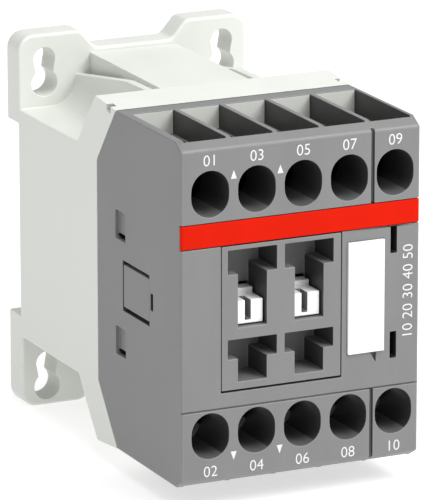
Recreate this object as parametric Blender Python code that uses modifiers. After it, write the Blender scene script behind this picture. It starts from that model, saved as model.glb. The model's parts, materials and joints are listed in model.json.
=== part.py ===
"""DIN rail contactor: three main poles, one auxiliary contact and a coil in a 45 mm case.

The frame: +X to the right, +Y to the rear (towards the rail), +Z up. The origin is the middle
of the seat that rests on the rail, so the front faces -Y. Dimensions below are millimetres.
"""

import math

import bmesh
import bpy
from mathutils import Matrix, Vector

MM = 0.001

# Driving dimensions of the case.
HALF_WIDTH = 22.5
FRONT_Y = -69.5
FRONT_HALF_HEIGHT = 29.0
CASE_HALF_HEIGHT = 30.4
CHAMFER_Y = -67.0
SHOULDER_Y = -43.1
SEAM_Y = -35.0
SEAM_HALF_HEIGHT = 19.9
BODY_HALF_HEIGHT = 21.2
PLATE_FRONT_Y = -0.6
PLATE_REAR_Y = 5.0
FOOT_HALF_HEIGHT = 34.6
PLATE_HALF_HEIGHT = 31.2
SPINE_FRONT_Y = -32.0
WALL = 1.6
FIT = 0.15
GAP = 0.3

# The rail channel and the fixing holes in the feet.
CHANNEL_TOP = 18.6
CHANNEL_BOTTOM = -17.2
HOOK_DROP = 1.3
HOOK_Y = 1.6
KEYHOLE_X = 17.5
KEYHOLE_WIDE_Z = (25.6, -31.0)
KEYHOLE_RISE = 4.4
KEYHOLE_WIDE_RADIUS = 2.5
KEYHOLE_NARROW_RADIUS = 2.1

# Five terminal columns: three main poles, the auxiliary contact and the coil.
COLUMN_PITCH = 8.71
FIRST_COLUMN_X = -17.1
COLUMNS = [FIRST_COLUMN_X + COLUMN_PITCH * index for index in range(5)]
POLES = COLUMNS[:4]
COIL_COLUMN = COLUMNS[4]
TERMINAL_Z = 21.25
SCREW_HOLE_HALF_WIDTH = 3.5
SCREW_HOLE_HALF_HEIGHT = 4.05
POCKET_HALF_WIDTH = 3.9
POCKET_FRONT_Y = -67.4
POCKET_REAR_Y = -46.2
POCKET_FLOOR_Z = 26.0
WELL_HALF_WIDTH = 3.6
WELL_FRONT_Y = -58.0
WELL_REAR_Y = -47.0
WELL_FLOOR_Z = 16.8
SCREW_HEAD_RADIUS = 2.8
SCREW_HEAD_Y = (-54.8, -52.5)
SCREW_SHANK_RADIUS = 1.7
SCREW_END_Y = -47.4
CLAMP_Y = (-52.2, -51.0)

# Current path: the terminal tab, the strip towards the middle, and the bridging contact.
STRIP_HALF_WIDTH = 2.8
STRIP_THICKNESS = 1.2
TAB_FRONT_Y = -50.7
TAB_END_Z = 25.5
STRIP_RUN_Z = 12.9
CONTACT_Y = -41.0
CONTACT_END_Z = 5.6
TIP_Z = 7.6
TIP_RADIUS = 1.8
TIP_HEIGHT = 0.9
CONTACT_GAP = 3.1
BRIDGE_HALF_WIDTH = 2.6
BRIDGE_HALF_LENGTH = 9.4
BRIDGE_THICKNESS = 1.0

# The front face: the red band, the attachment panel and its four T openings.
BAND_Z = (11.85, 16.25)
BAND_DEPTH = 0.6
PANEL_X = (-15.1, 7.7)
PANEL_Z = (-13.75, 11.95)
PANEL_DEPTH = 8.9
PANEL_BACK = 1.5
T_COLUMNS = (-9.2, 1.5)
T_BAR_HALF_WIDTH = 4.6
T_STEM_HALF_WIDTH = 2.7
T_UPPER = {"top": 11.0, "step": 6.75, "foot": -2.7}
T_LOWER = {"top": -4.75, "step": -8.15, "foot": -12.25}
MARKER_X = (9.0, 15.9)
MARKER_Z = (-10.25, 10.0)
MARKER_GAP = 0.2
MARKER_PEG_X = (11.3, 12.1)
MARKER_PEG_Z = (6.8, 8.2)
FRONT_SLOT_X = (17.0, 18.2)
FRONT_SLOT_Z = (7.0, 11.7)
FRONT_SLOT_REAR_Y = -66.0
COLUMN_GROOVE_X = (13.2, 13.8)
COLUMN_GROOVE_DEPTH = 0.7
LOWER_GROOVE_Z = (-16.8, -16.5)
LOWER_GROOVE_DEPTH = 0.4

# The moving contact carrier.
CARRIER_X = (-20.3, 12.6)
CARRIER_HALF_HEIGHT = 4.6
CARRIER_FRONT_Y = -59.4
CARRIER_REAR_Y = -45.4
WINDOW_HALF_WIDTH = 3.1
WINDOW_FRONT_Y = -57.4
WINDOW_REAR_Y = -47.0
ACTUATOR_HALF_WIDTH = 2.4
ACTUATOR_FRONT_Y = -68.5
ACTUATOR_FRONT_Z = (-2.4, 1.7)
ACTUATOR_BACK_Y = -64.5
ACTUATOR_BACK_Z = (-2.0, 2.7)
ACTUATOR_SLOT_X = (-0.95, 0.15)
ACTUATOR_SLOT_REAR_Y = -65.4
ACTUATOR_HOLE_Z = (-2.8, 3.05)

# The magnet and the coil.
CORE_HALF_STACK = 6.5
CORE_HALF_HEIGHT = 14.5
OUTER_LEG_Z = 10.2
CENTRE_LEG_Z = 3.6
CORE_REAR_Y = -3.2
CORE_YOKE_Y = -8.6
POLE_FACE_Y = -19.6
ARMATURE_POLE_Y = -24.3
ARMATURE_YOKE_Y = -33.4
ARMATURE_FRONT_Y = -38.4
PIN_Y = -35.9
PIN_RADIUS = 1.5
RETURN_SPRING_X = 15.5

ARC_STEPS = 5


# ---------------------------------------------------------------- helpers

def metres(point):
    """Return a point given in millimetres as a vector in metres."""
    return Vector(point) * MM


def new_collection(name, parent=None):
    """Make a collection and link it to the scene or to another collection."""
    collection = bpy.data.collections.new(name)
    (parent or bpy.context.scene.collection).children.link(collection)
    return collection


def new_object(name, mesh, collection):
    """Wrap a mesh in an object that belongs to one collection."""
    item = bpy.data.objects.new(name, mesh)
    collection.objects.link(item)
    return item


def block(name, x_span, y_span, z_span, collection):
    """A box between three pairs of coordinates."""
    low = Vector((x_span[0], y_span[0], z_span[0]))
    high = Vector((x_span[1], y_span[1], z_span[1]))
    shape = bmesh.new()
    bmesh.ops.create_cube(shape, size=1.0)
    bmesh.ops.scale(shape, vec=(high - low) * MM, verts=shape.verts)
    mesh = bpy.data.meshes.new(name)
    shape.to_mesh(mesh)
    shape.free()
    item = new_object(name, mesh, collection)
    item.location = (low + high) * 0.5 * MM
    return item


AXIS_TURN = {
    "X": Matrix.Rotation(math.radians(90.0), 4, "Y"),
    "Y": Matrix.Rotation(math.radians(-90.0), 4, "X"),
    "Z": Matrix.Identity(4),
}


def rod(name, centre, radius, length, axis, collection, sides=24):
    """A round bar along one axis."""
    shape = bmesh.new()
    bmesh.ops.create_cone(
        shape, cap_ends=True, segments=sides,
        radius1=radius * MM, radius2=radius * MM, depth=length * MM,
    )
    bmesh.ops.transform(shape, matrix=AXIS_TURN[axis], verts=shape.verts)
    mesh = bpy.data.meshes.new(name)
    shape.to_mesh(mesh)
    shape.free()
    item = new_object(name, mesh, collection)
    item.location = metres(centre)
    return item


# Where an outline's first, second and depth directions point.
OUTLINE_FRAMES = {
    "X": Matrix(((0, 0, 1), (1, 0, 0), (0, 1, 0))),
    "Y": Matrix(((1, 0, 0), (0, 0, -1), (0, 1, 0))),
    "Z": Matrix(((1, 0, 0), (0, 1, 0), (0, 0, 1))),
}


def slab(name, outlines, span, axis, collection):
    """A flat outline, with holes if more outlines follow, given a thickness along an axis.

    An outline is in (Y, Z) for axis X, in (X, Z) for axis Y and in (X, Y) for axis Z.
    """
    curve = bpy.data.curves.new(name, "CURVE")
    curve.dimensions = "2D"
    curve.fill_mode = "BOTH"
    curve.extrude = abs(span[1] - span[0]) * 0.5 * MM
    for outline in outlines:
        spline = curve.splines.new("POLY")
        spline.points.add(len(outline) - 1)
        spline.use_cyclic_u = True
        for point, (first, second) in zip(spline.points, outline):
            point.co = (first * MM, second * MM, 0.0, 1.0)
    source = bpy.data.objects.new(name, curve)
    collection.objects.link(source)
    middle = (span[0] + span[1]) * 0.5
    offset = {"X": (middle, 0, 0), "Y": (0, middle, 0), "Z": (0, 0, middle)}[axis]
    source.matrix_world = Matrix.Translation(metres(offset)) @ OUTLINE_FRAMES[axis].to_4x4()
    return as_mesh(source, collection)


def as_mesh(source, collection):
    """Turn a curve object into a mesh object with its caps welded."""
    bpy.context.view_layer.update()
    depsgraph = bpy.context.evaluated_depsgraph_get()
    mesh = bpy.data.meshes.new_from_object(source.evaluated_get(depsgraph))
    shape = bmesh.new()
    shape.from_mesh(mesh)
    bmesh.ops.remove_doubles(shape, verts=shape.verts, dist=0.000001)
    bmesh.ops.recalc_face_normals(shape, faces=shape.faces)
    shape.to_mesh(mesh)
    shape.free()
    name = source.name
    place = source.matrix_world.copy()
    bpy.data.objects.remove(source)
    item = new_object(name, mesh, collection)
    item.matrix_world = place
    return item


def arc(centre, radius, start_deg, end_deg, steps=ARC_STEPS):
    """Points along a circular arc in an outline's plane."""
    points = []
    for step in range(steps + 1):
        angle = math.radians(start_deg + (end_deg - start_deg) * step / steps)
        points.append((centre[0] + radius * math.cos(angle), centre[1] + radius * math.sin(angle)))
    return points


def stadium(x, z, half_width, half_height):
    """An upright slot with round ends."""
    lift = half_height - half_width
    upper = arc((x, z + lift), half_width, 0.0, 180.0, 8)
    lower = arc((x, z - lift), half_width, 180.0, 360.0, 8)
    return upper + lower


def rectangle(first_span, second_span):
    """A four-cornered outline."""
    return [
        (first_span[0], second_span[0]), (first_span[1], second_span[0]),
        (first_span[1], second_span[1]), (first_span[0], second_span[1]),
    ]


def mirrored(span, sign):
    """A span on the upper side for sign 1, or its mirror image below for sign -1."""
    return tuple(sorted((span[0] * sign, span[1] * sign)))


def around(centre, half):
    """The span of a given half width around a centre."""
    return (centre - half, centre + half)


def hide_tool(tool):
    """Mark a Boolean's tool, so that it shows as wire and is never rendered."""
    tool.hide_render = True
    tool.display_type = "WIRE"


def boolean(target, tools, operation):
    """Add an exact Boolean to the target, by one object or by a whole collection."""
    modifier = target.modifiers.new(tools.name, "BOOLEAN")
    modifier.operation = operation
    modifier.solver = "EXACT"
    if isinstance(tools, bpy.types.Collection):
        modifier.operand_type = "COLLECTION"
        modifier.collection = tools
        for tool in tools.objects:
            hide_tool(tool)
    else:
        modifier.object = tools
        hide_tool(tools)


def cut(target, tools):
    """Take the tools' shape out of the target."""
    boolean(target, tools, "DIFFERENCE")


def join(target, tools):
    """Add the tools' shape to the target."""
    boolean(target, tools, "UNION")


def soften(item, width, segments=2, angle=60.0):
    """Round the sharp edges of a plain shape, before anything is cut from it."""
    modifier = item.modifiers.new("soft edges", "BEVEL")
    modifier.width = width * MM
    modifier.segments = segments
    modifier.limit_method = "ANGLE"
    modifier.angle_limit = math.radians(angle)


def finish(item, material, smooth=False):
    """Give a piece its material, and smooth shading if it is round."""
    item.data.materials.append(material)
    if smooth and item.type == "MESH":
        item.data.shade_smooth()
        item.data.set_sharp_from_angle(angle=math.radians(40.0))
    return item


def make_material(name, colour, roughness, metallic=0.0):
    """A Principled material of one colour."""
    material = bpy.data.materials.new(name)
    material.use_nodes = True
    shader = material.node_tree.nodes["Principled BSDF"]
    shader.inputs["Base Color"].default_value = (*colour, 1.0)
    shader.inputs["Roughness"].default_value = roughness
    shader.inputs["Metallic"].default_value = metallic
    return material


def axis_empty(name, point, collection):
    """An empty that carries a moving group on its joint's axis."""
    empty = bpy.data.objects.new(name, None)
    empty.empty_display_size = 0.005
    empty.location = metres(point)
    collection.objects.link(empty)
    return empty


def carry(empty, pieces):
    """Parent pieces to an empty without moving them."""
    bpy.context.view_layer.update()
    for piece in pieces:
        piece.parent = empty
        piece.matrix_parent_inverse = empty.matrix_world.inverted()


def coil_spring(name, start, end, radius, wire_radius, turns, material, collection):
    """A compression spring between two points of one axis, with closed end turns."""
    start = metres(start)
    end = metres(end)
    direction = (end - start).normalized()
    side = direction.orthogonal().normalized()
    other = direction.cross(side)
    curve = bpy.data.curves.new(name, "CURVE")
    curve.dimensions = "3D"
    curve.bevel_depth = wire_radius * MM
    curve.bevel_resolution = 2
    curve.use_fill_caps = True
    spline = curve.splines.new("POLY")
    points_per_turn = 8
    count = int(turns * points_per_turn)
    spline.points.add(count)
    length = (end - start).length - 2.0 * wire_radius * MM
    for index, point in enumerate(spline.points):
        share = index / count
        angle = 2.0 * math.pi * turns * share
        climb = share - math.sin(2.0 * math.pi * share) / (2.0 * math.pi) * 0.5
        centre = start + direction * (wire_radius * MM + length * climb)
        place = centre + (side * math.cos(angle) + other * math.sin(angle)) * radius * MM
        point.co = (*place, 1.0)
    item = bpy.data.objects.new(name, curve)
    collection.objects.link(item)
    item.data.materials.append(material)
    return item


# ---------------------------------------------------------------- front of the case

def side_profile():
    """The front housing's outline seen from the side, as (Y, Z) points."""
    upper = [
        (FRONT_Y, FRONT_HALF_HEIGHT), (CHAMFER_Y, CASE_HALF_HEIGHT),
        (SHOULDER_Y, CASE_HALF_HEIGHT), (SEAM_Y, SEAM_HALF_HEIGHT),
    ]
    lower = [(y, -z) for y, z in reversed(upper)]
    return upper + lower


def terminal_openings(openings, sign, side, index, x):
    """The openings of one terminal: screw hole, wire pocket, well, and the ways to the inside."""
    label = f"{side}_{index + 1}"
    hole = stadium(x, TERMINAL_Z * sign, SCREW_HOLE_HALF_WIDTH, SCREW_HOLE_HALF_HEIGHT)
    slab(f"screw_hole_{label}", [hole], (FRONT_Y - 1, WELL_FRONT_Y + 0.4), "Y", openings)
    block(
        f"wire_pocket_{label}", around(x, POCKET_HALF_WIDTH), (POCKET_FRONT_Y, POCKET_REAR_Y),
        mirrored((POCKET_FLOOR_Z, CASE_HALF_HEIGHT + 1), sign), openings)
    block(
        f"well_{label}", around(x, WELL_HALF_WIDTH), (WELL_FRONT_Y, WELL_REAR_Y),
        mirrored((WELL_FLOOR_Z, POCKET_FLOOR_Z + 1), sign), openings)
    block(
        f"strip_slot_{label}", around(x, STRIP_HALF_WIDTH + 0.35), (TAB_FRONT_Y - 0.4, -48.7),
        mirrored((14.3, WELL_FLOOR_Z + 0.4), sign), openings)
    if index < len(POLES):
        block(
            f"pole_chamber_{label}", around(x, POCKET_HALF_WIDTH), (-59.0, -39.2),
            mirrored((4.8, 15.3), sign), openings)


def side_openings(openings, sign, side):
    """The openings of one side wall: the interlock window, its pry slot and two shallow recesses."""
    outer_x = mirrored((HALF_WIDTH - WALL - 1, HALF_WIDTH + 1), sign)
    shallow_x = mirrored((HALF_WIDTH - 0.8, HALF_WIDTH + 1), sign)
    block(f"cover_window_{side}", outer_x, (-56.4, -45.4), (-4.55, 4.45), openings)
    block(f"pry_slot_{side}", outer_x, (-57.9, -56.9), (-1.55, 1.45), openings)
    for floor, place in ((7.75, "upper"), (-13.05, "lower")):
        block(f"side_recess_{side}_{place}", shallow_x, (-46.5, -42.3), (floor, floor + 5.1), openings)


def front_face_openings(openings):
    """The openings of the front face: window, band groove, marker recess and slots."""
    outside = FRONT_Y - 1
    wide = (-HALF_WIDTH - 1, HALF_WIDTH + 1)
    block("panel_window", PANEL_X, (outside, -58.2), PANEL_Z, openings)
    block("band_groove", wide, (outside, FRONT_Y + BAND_DEPTH + GAP), BAND_Z, openings)
    block("lower_groove", wide, (outside, FRONT_Y + LOWER_GROOVE_DEPTH), LOWER_GROOVE_Z, openings)
    groove_y = (outside, FRONT_Y + COLUMN_GROOVE_DEPTH)
    block("column_groove_top", COLUMN_GROOVE_X, groove_y, (16.0, 32.0), openings)
    block("column_groove_bottom", COLUMN_GROOVE_X, groove_y, (-32.0, -16.65), openings)
    block("marker_recess", MARKER_X, (outside, FRONT_Y + 1.2), MARKER_Z, openings)
    block("pry_notch", (13.4, 14.2), (outside, FRONT_Y + 1.0), (-12.0, -9.9), openings)
    for sign, side in ((1, "upper"), (-1, "lower")):
        block(
            f"front_slot_{side}", FRONT_SLOT_X, (outside, FRONT_SLOT_REAR_Y),
            mirrored(FRONT_SLOT_Z, sign), openings)
        block(
            f"marker_peg_slot_{side}", (MARKER_PEG_X[0] - GAP, MARKER_PEG_X[1] + GAP),
            (FRONT_Y + 0.5, FRONT_SLOT_REAR_Y),
            mirrored((MARKER_PEG_Z[0] - GAP, MARKER_PEG_Z[1] + GAP), sign), openings)


def inner_cavities(openings):
    """The hollow inside: room for the carrier, the magnet, and behind the thick front face."""
    inner_x = (-HALF_WIDTH + WALL, HALF_WIDTH - WALL)
    block("carrier_channel", (inner_x[0], 13.2), (-60.0, -39.3), (-5.2, 5.2), openings)
    block("wing_channel", inner_x, (-42.2, -39.0), (-4.2, 4.2), openings)
    block("rear_cavity", inner_x, (-39.8, SEAM_Y + 2), (-17.8, 17.8), openings)
    block("coil_column_hollow", (14.2, inner_x[1]), (-66.9, -39.1), (-11.0, 11.0), openings)
    block("right_relief", (8.7, 12.6), (-66.9, -58.5), (-10.8, 10.8), openings)
    block("left_relief", (inner_x[0], -16.1), (-66.9, -58.4), (-13.0, 13.0), openings)
    for sign, side in ((1, "top"), (-1, "bottom")):
        block(
            f"coil_strip_channel_{side}", (COIL_COLUMN - 3.2, inner_x[1]), (-51.5, -38.9),
            mirrored((10.5, 15.3), sign), openings)


def front_housing(group, cutters, material):
    """The dark grey front shell with its terminal wells, pole chambers and front openings."""
    shell = slab("front_housing", [side_profile()], (-HALF_WIDTH, HALF_WIDTH), "X", group)
    soften(shell, 0.8, 1)
    openings = new_collection("front_housing_openings", cutters)
    for sign, side in ((1, "top"), (-1, "bottom")):
        for index, x in enumerate(COLUMNS):
            terminal_openings(openings, sign, side, index, x)
    for sign, side in ((-1, "left"), (1, "right")):
        side_openings(openings, sign, side)
    front_face_openings(openings)
    inner_cavities(openings)
    cut(shell, openings)
    return finish(shell, material)


def t_outline(x, levels):
    """A T opening: a wide bar over a narrower stem."""
    bar = T_BAR_HALF_WIDTH
    stem = T_STEM_HALF_WIDTH
    return [
        (x - stem, levels["foot"]), (x + stem, levels["foot"]),
        (x + stem, levels["step"]), (x + bar, levels["step"]),
        (x + bar, levels["top"]), (x - bar, levels["top"]),
        (x - bar, levels["step"]), (x - stem, levels["step"]),
    ]


def interface_panel(group, cutters, material):
    """The block behind the front window, with the T openings that attachments hook into."""
    x_span = (PANEL_X[0] + FIT, PANEL_X[1] - FIT)
    z_span = (PANEL_Z[0] + FIT, PANEL_Z[1] - 0.2)
    rear_y = FRONT_Y + PANEL_DEPTH
    panel = block("interface_panel", x_span, (FRONT_Y, rear_y), z_span, group)
    openings = new_collection("interface_panel_openings", cutters)
    for number, x in enumerate(T_COLUMNS, 1):
        for place, levels in (("upper", T_UPPER), ("lower", T_LOWER)):
            depth = (FRONT_Y - 1, rear_y - PANEL_BACK)
            slab(f"t_opening_{place}_{number}", [t_outline(x, levels)], depth, "Y", openings)
        block(
            f"actuator_hole_{number}", around(x, T_STEM_HALF_WIDTH - 0.05),
            (rear_y - PANEL_BACK - 0.4, rear_y + 1), ACTUATOR_HOLE_Z, openings)
    cut(panel, openings)
    return finish(panel, material)


def accent_band(group, material):
    """The coloured strip across the front."""
    band = block(
        "accent_band", (-HALF_WIDTH, HALF_WIDTH), (FRONT_Y, FRONT_Y + BAND_DEPTH),
        (BAND_Z[0] + FIT, BAND_Z[1] - FIT), group)
    soften(band, 0.15, 1)
    return finish(band, material)


def marker_plate(group, cutters, material):
    """The white label plate, with two pegs that clip into the housing."""
    plate = block(
        "marker_plate", (MARKER_X[0] + MARKER_GAP, MARKER_X[1] - MARKER_GAP),
        (FRONT_Y - 0.4, FRONT_Y + 0.9), (MARKER_Z[0] + MARKER_GAP, MARKER_Z[1] - MARKER_GAP), group)
    soften(plate, 0.25, 1)
    for sign, side in ((1, "upper"), (-1, "lower")):
        join(plate, block(
            f"marker_peg_{side}", MARKER_PEG_X, (FRONT_Y + 0.6, FRONT_SLOT_REAR_Y - 0.2),
            mirrored(MARKER_PEG_Z, sign), cutters))
    return finish(plate, material)


def interlock_cover(side, sign, group, material):
    """The plate that closes the side window towards an interlock."""
    x_span = mirrored((HALF_WIDTH - 1.2, HALF_WIDTH - 0.1), sign)
    cover = block(f"interlock_cover_{side}", x_span, (-56.2, -45.6), (-3.85, 3.75), group)
    soften(cover, 0.2, 1)
    return finish(cover, material)


# ---------------------------------------------------------------- rear of the case

def collar_profile():
    """The rear housing's outline seen from the side, with the flare that meets the front."""
    upper = [
        (SHOULDER_Y + 0.4, CASE_HALF_HEIGHT), (-33.9, 31.2), (-28.8, 25.0),
        (-26.0, BODY_HALF_HEIGHT), (0.0, BODY_HALF_HEIGHT),
    ]
    lower = [(y, -z) for y, z in reversed(upper)]
    seam = [(SEAM_Y + 0.4, -SEAM_HALF_HEIGHT), (SEAM_Y + 0.4, SEAM_HALF_HEIGHT)]
    return upper + lower + seam


def foot_outline(sign, channel_edge):
    """One half of the mounting plate: two feet with rounded corners over the rail channel."""
    corner = 3.0
    corner_x = HALF_WIDTH - corner
    corner_z = FOOT_HALF_HEIGHT - corner
    right = [(HALF_WIDTH, channel_edge)]
    right += arc((corner_x, corner_z), corner, 0.0, 90.0)
    right += [(11.2, FOOT_HALF_HEIGHT), (10.2, FOOT_HALF_HEIGHT - 0.3), (8.2, PLATE_HALF_HEIGHT + 0.8)]
    right += [(7.2, PLATE_HALF_HEIGHT)]
    left = [(-x, z) for x, z in reversed(right)]
    return [(x, z * sign) for x, z in right + left]


def keyhole(x, wide_z):
    """A keyhole outline: a wide round end below and a narrower slot above it."""
    meet = math.degrees(math.acos(KEYHOLE_NARROW_RADIUS * 0.8 / KEYHOLE_WIDE_RADIUS))
    wide = arc((x, wide_z), KEYHOLE_WIDE_RADIUS, 180.0 - meet, 360.0 + meet, 12)
    narrow = arc((x, wide_z + KEYHOLE_RISE), KEYHOLE_NARROW_RADIUS, -20.0, 200.0, 10)
    return wide + narrow


def rear_additions(additions):
    """What stands out of the rear body: the feet, the spine and its ribs, top and bottom."""
    for sign, side in ((1, "top"), (-1, "bottom")):
        edge = CHANNEL_TOP if sign > 0 else -CHANNEL_BOTTOM
        plate = slab(
            f"plate_{side}", [foot_outline(sign, edge)], (PLATE_FRONT_Y, PLATE_REAR_Y), "Y", additions)
        soften(plate, 0.6, 1)
        block(
            f"spine_{side}", (-8.5, 8.5), (SPINE_FRONT_Y, PLATE_FRONT_Y + 1),
            mirrored((19.5, 30.3), sign), additions)
        rib = [
            (SPINE_FRONT_Y, 19.4), (SPINE_FRONT_Y, 30.2), (-22.5, 30.0),
            (PLATE_FRONT_Y + 0.9, 26.5), (PLATE_FRONT_Y + 0.9, 19.4),
        ]
        for x, name in ((-10.55, "left"), (10.55, "right")):
            slab(f"rib_{side}_{name}", [[(y, z * sign) for y, z in rib]], around(x, 0.75), "X", additions)
    for x, name in ((-13.0, "left"), (13.0, "right")):
        block(
            f"fixed_hook_{name}", around(x, 4.5), (HOOK_Y, PLATE_REAR_Y - 0.3),
            (CHANNEL_TOP - HOOK_DROP, CHANNEL_TOP + 1), additions)


def rear_openings(openings):
    """The hollow inside, the keyholes, the collar notches and the latch's slot."""
    inner_x = (-HALF_WIDTH + WALL, HALF_WIDTH - WALL)
    block("body_hollow", inner_x, (SEAM_Y - 1, -1.8), (-18.6, 18.6), openings)
    for sign, side in ((1, "top"), (-1, "bottom")):
        block(f"spine_hollow_{side}", (-7.2, 7.2), (-28.0, -1.7), mirrored((17.5, 28.8), sign), openings)
    for x, name in ((-KEYHOLE_X, "left"), (KEYHOLE_X, "right")):
        for wide_z, side in zip(KEYHOLE_WIDE_Z, ("top", "bottom")):
            depth = (PLATE_FRONT_Y - 2, PLATE_REAR_Y + 2)
            slab(f"keyhole_{side}_{name}", [keyhole(x, wide_z)], depth, "Y", openings)
    for sign, name in ((-1, "left"), (1, "right")):
        block(f"collar_notch_{name}", mirrored((21.3, 23.5), sign), (-40.6, -38.9), (29.4, 32.0), openings)
    block("latch_slot", (-5.8, 5.8), (1.1, 4.3), (-36.0, -16.2), openings)


def rear_housing(group, cutters, material):
    """The light grey rear shell with the collar, the ribbed body, the feet and the rail channel."""
    shell = slab("rear_housing", [collar_profile()], (-HALF_WIDTH, HALF_WIDTH), "X", group)
    soften(shell, 0.5, 1)
    additions = new_collection("rear_housing_additions", cutters)
    rear_additions(additions)
    join(shell, additions)
    openings = new_collection("rear_housing_openings", cutters)
    rear_openings(openings)
    cut(shell, openings)
    join(shell, block("latch_spring_stop", (-1.7, 1.7), (0.6, 4.7), (-27.6, -26.0), cutters))
    return finish(shell, material)


def rail_latch(group, cutters, material):
    """The sliding latch that grips the lower edge of the rail."""
    outline = [
        (-5.5, -34.0), (-5.1, -34.4), (5.1, -34.4), (5.5, -34.0),
        (5.5, -16.3), (4.9, -15.7), (-4.9, -15.7), (-5.5, -16.3),
    ]
    latch = slab("rail_latch", [outline], (1.4, 4.0), "Y", group)
    cut(latch, block("latch_window", (-2.2, 2.2), (0.0, 5.0), (-28.0, -19.0), cutters))
    cut(latch, block("latch_eye", (-2.0, 2.0), (0.0, 5.0), (-33.2, -31.9), cutters))
    return finish(latch, material)


# ---------------------------------------------------------------- terminals and contacts

def strip_outline(sign, rear_y, inner_z):
    """The folded strip seen from the side: terminal tab, run to the rear, and contact end."""
    thick = STRIP_THICKNESS
    upper = [
        (TAB_FRONT_Y, TAB_END_Z), (TAB_FRONT_Y + thick, TAB_END_Z),
        (TAB_FRONT_Y + thick, STRIP_RUN_Z + thick), (rear_y, STRIP_RUN_Z + thick),
        (rear_y, inner_z), (rear_y - thick, inner_z),
        (rear_y - thick, STRIP_RUN_Z), (TAB_FRONT_Y, STRIP_RUN_Z),
    ]
    return [(y, z * sign) for y, z in upper]


def terminal_strip(name, x, sign, rear_y, inner_z, group, cutters, material):
    """A strip that runs from one terminal screw into the case."""
    strip = slab(
        name, [strip_outline(sign, rear_y, inner_z)], around(x, STRIP_HALF_WIDTH), "X", group)
    hole_length = STRIP_THICKNESS + 2.0
    hole_y = TAB_FRONT_Y + STRIP_THICKNESS * 0.5
    cut(strip, rod(
        f"{name}_hole", (x, hole_y, TERMINAL_Z * sign), SCREW_SHANK_RADIUS + GAP, hole_length,
        "Y", cutters, 16))
    return finish(strip, material)


def fixed_contact(side, sign, number, x, group, cutters, materials):
    """A fixed contact with its silver tip, facing the front."""
    name = f"fixed_contact_{side}_{number}"
    strip = terminal_strip(name, x, sign, CONTACT_Y, CONTACT_END_Z, group, cutters, materials["copper"])
    tip_y = CONTACT_Y - STRIP_THICKNESS - TIP_HEIGHT * 0.5
    join(strip, rod(
        f"{name}_tip", (x, tip_y + 0.1, TIP_Z * sign), TIP_RADIUS, TIP_HEIGHT + 0.2, "Y", cutters, 16))
    return strip


def terminal_screw(side, sign, number, x, group, cutters, material):
    """A terminal screw with a cross recess."""
    name = f"terminal_screw_{side}_{number}"
    z = TERMINAL_Z * sign
    head_length = SCREW_HEAD_Y[1] - SCREW_HEAD_Y[0]
    head_y = sum(SCREW_HEAD_Y) * 0.5
    screw = rod(name, (x, head_y, z), SCREW_HEAD_RADIUS, head_length, "Y", group, 24)
    shank_front = SCREW_HEAD_Y[1] - 0.5
    shank_y = (shank_front + SCREW_END_Y) * 0.5
    join(screw, rod(
        f"{name}_shank", (x, shank_y, z), SCREW_SHANK_RADIUS, SCREW_END_Y - shank_front, "Y", cutters, 16))
    recess_y = (SCREW_HEAD_Y[0] - 1, SCREW_HEAD_Y[0] + 1.2)
    cut(screw, block(f"{name}_recess_a", around(x, 1.7), recess_y, around(z, 0.4), cutters))
    cut(screw, block(f"{name}_recess_b", around(x, 0.4), recess_y, around(z, 1.7), cutters))
    return finish(screw, material)


def terminal_clamp(side, sign, number, x, group, cutters, material):
    """The square washer that the screw presses on the wire."""
    name = f"terminal_clamp_{side}_{number}"
    z = TERMINAL_Z * sign
    clamp = block(name, around(x, 3.1), CLAMP_Y, around(z, 3.6), group)
    soften(clamp, 0.3, 1)
    cut(clamp, rod(
        f"{name}_hole", (x, sum(CLAMP_Y) * 0.5, z), SCREW_SHANK_RADIUS + GAP, 4.0, "Y", cutters, 16))
    return finish(clamp, material)


def moving_bridge(number, x, group, cutters, material):
    """The bridge that closes one pole, with a tip at each end."""
    name = f"moving_bridge_{number}"
    tip_face_y = CONTACT_Y - STRIP_THICKNESS - TIP_HEIGHT - CONTACT_GAP
    plate_rear_y = tip_face_y - TIP_HEIGHT
    bridge = block(
        name, around(x, BRIDGE_HALF_WIDTH), (plate_rear_y - BRIDGE_THICKNESS, plate_rear_y),
        (-BRIDGE_HALF_LENGTH, BRIDGE_HALF_LENGTH), group)
    for sign, side in ((1, "top"), (-1, "bottom")):
        tip_y = plate_rear_y + TIP_HEIGHT * 0.5 - 0.1
        join(bridge, rod(
            f"{name}_tip_{side}", (x, tip_y, TIP_Z * sign), TIP_RADIUS, TIP_HEIGHT + 0.2, "Y", cutters, 16))
    return finish(bridge, material)


# ---------------------------------------------------------------- carrier, magnet and coil

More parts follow.
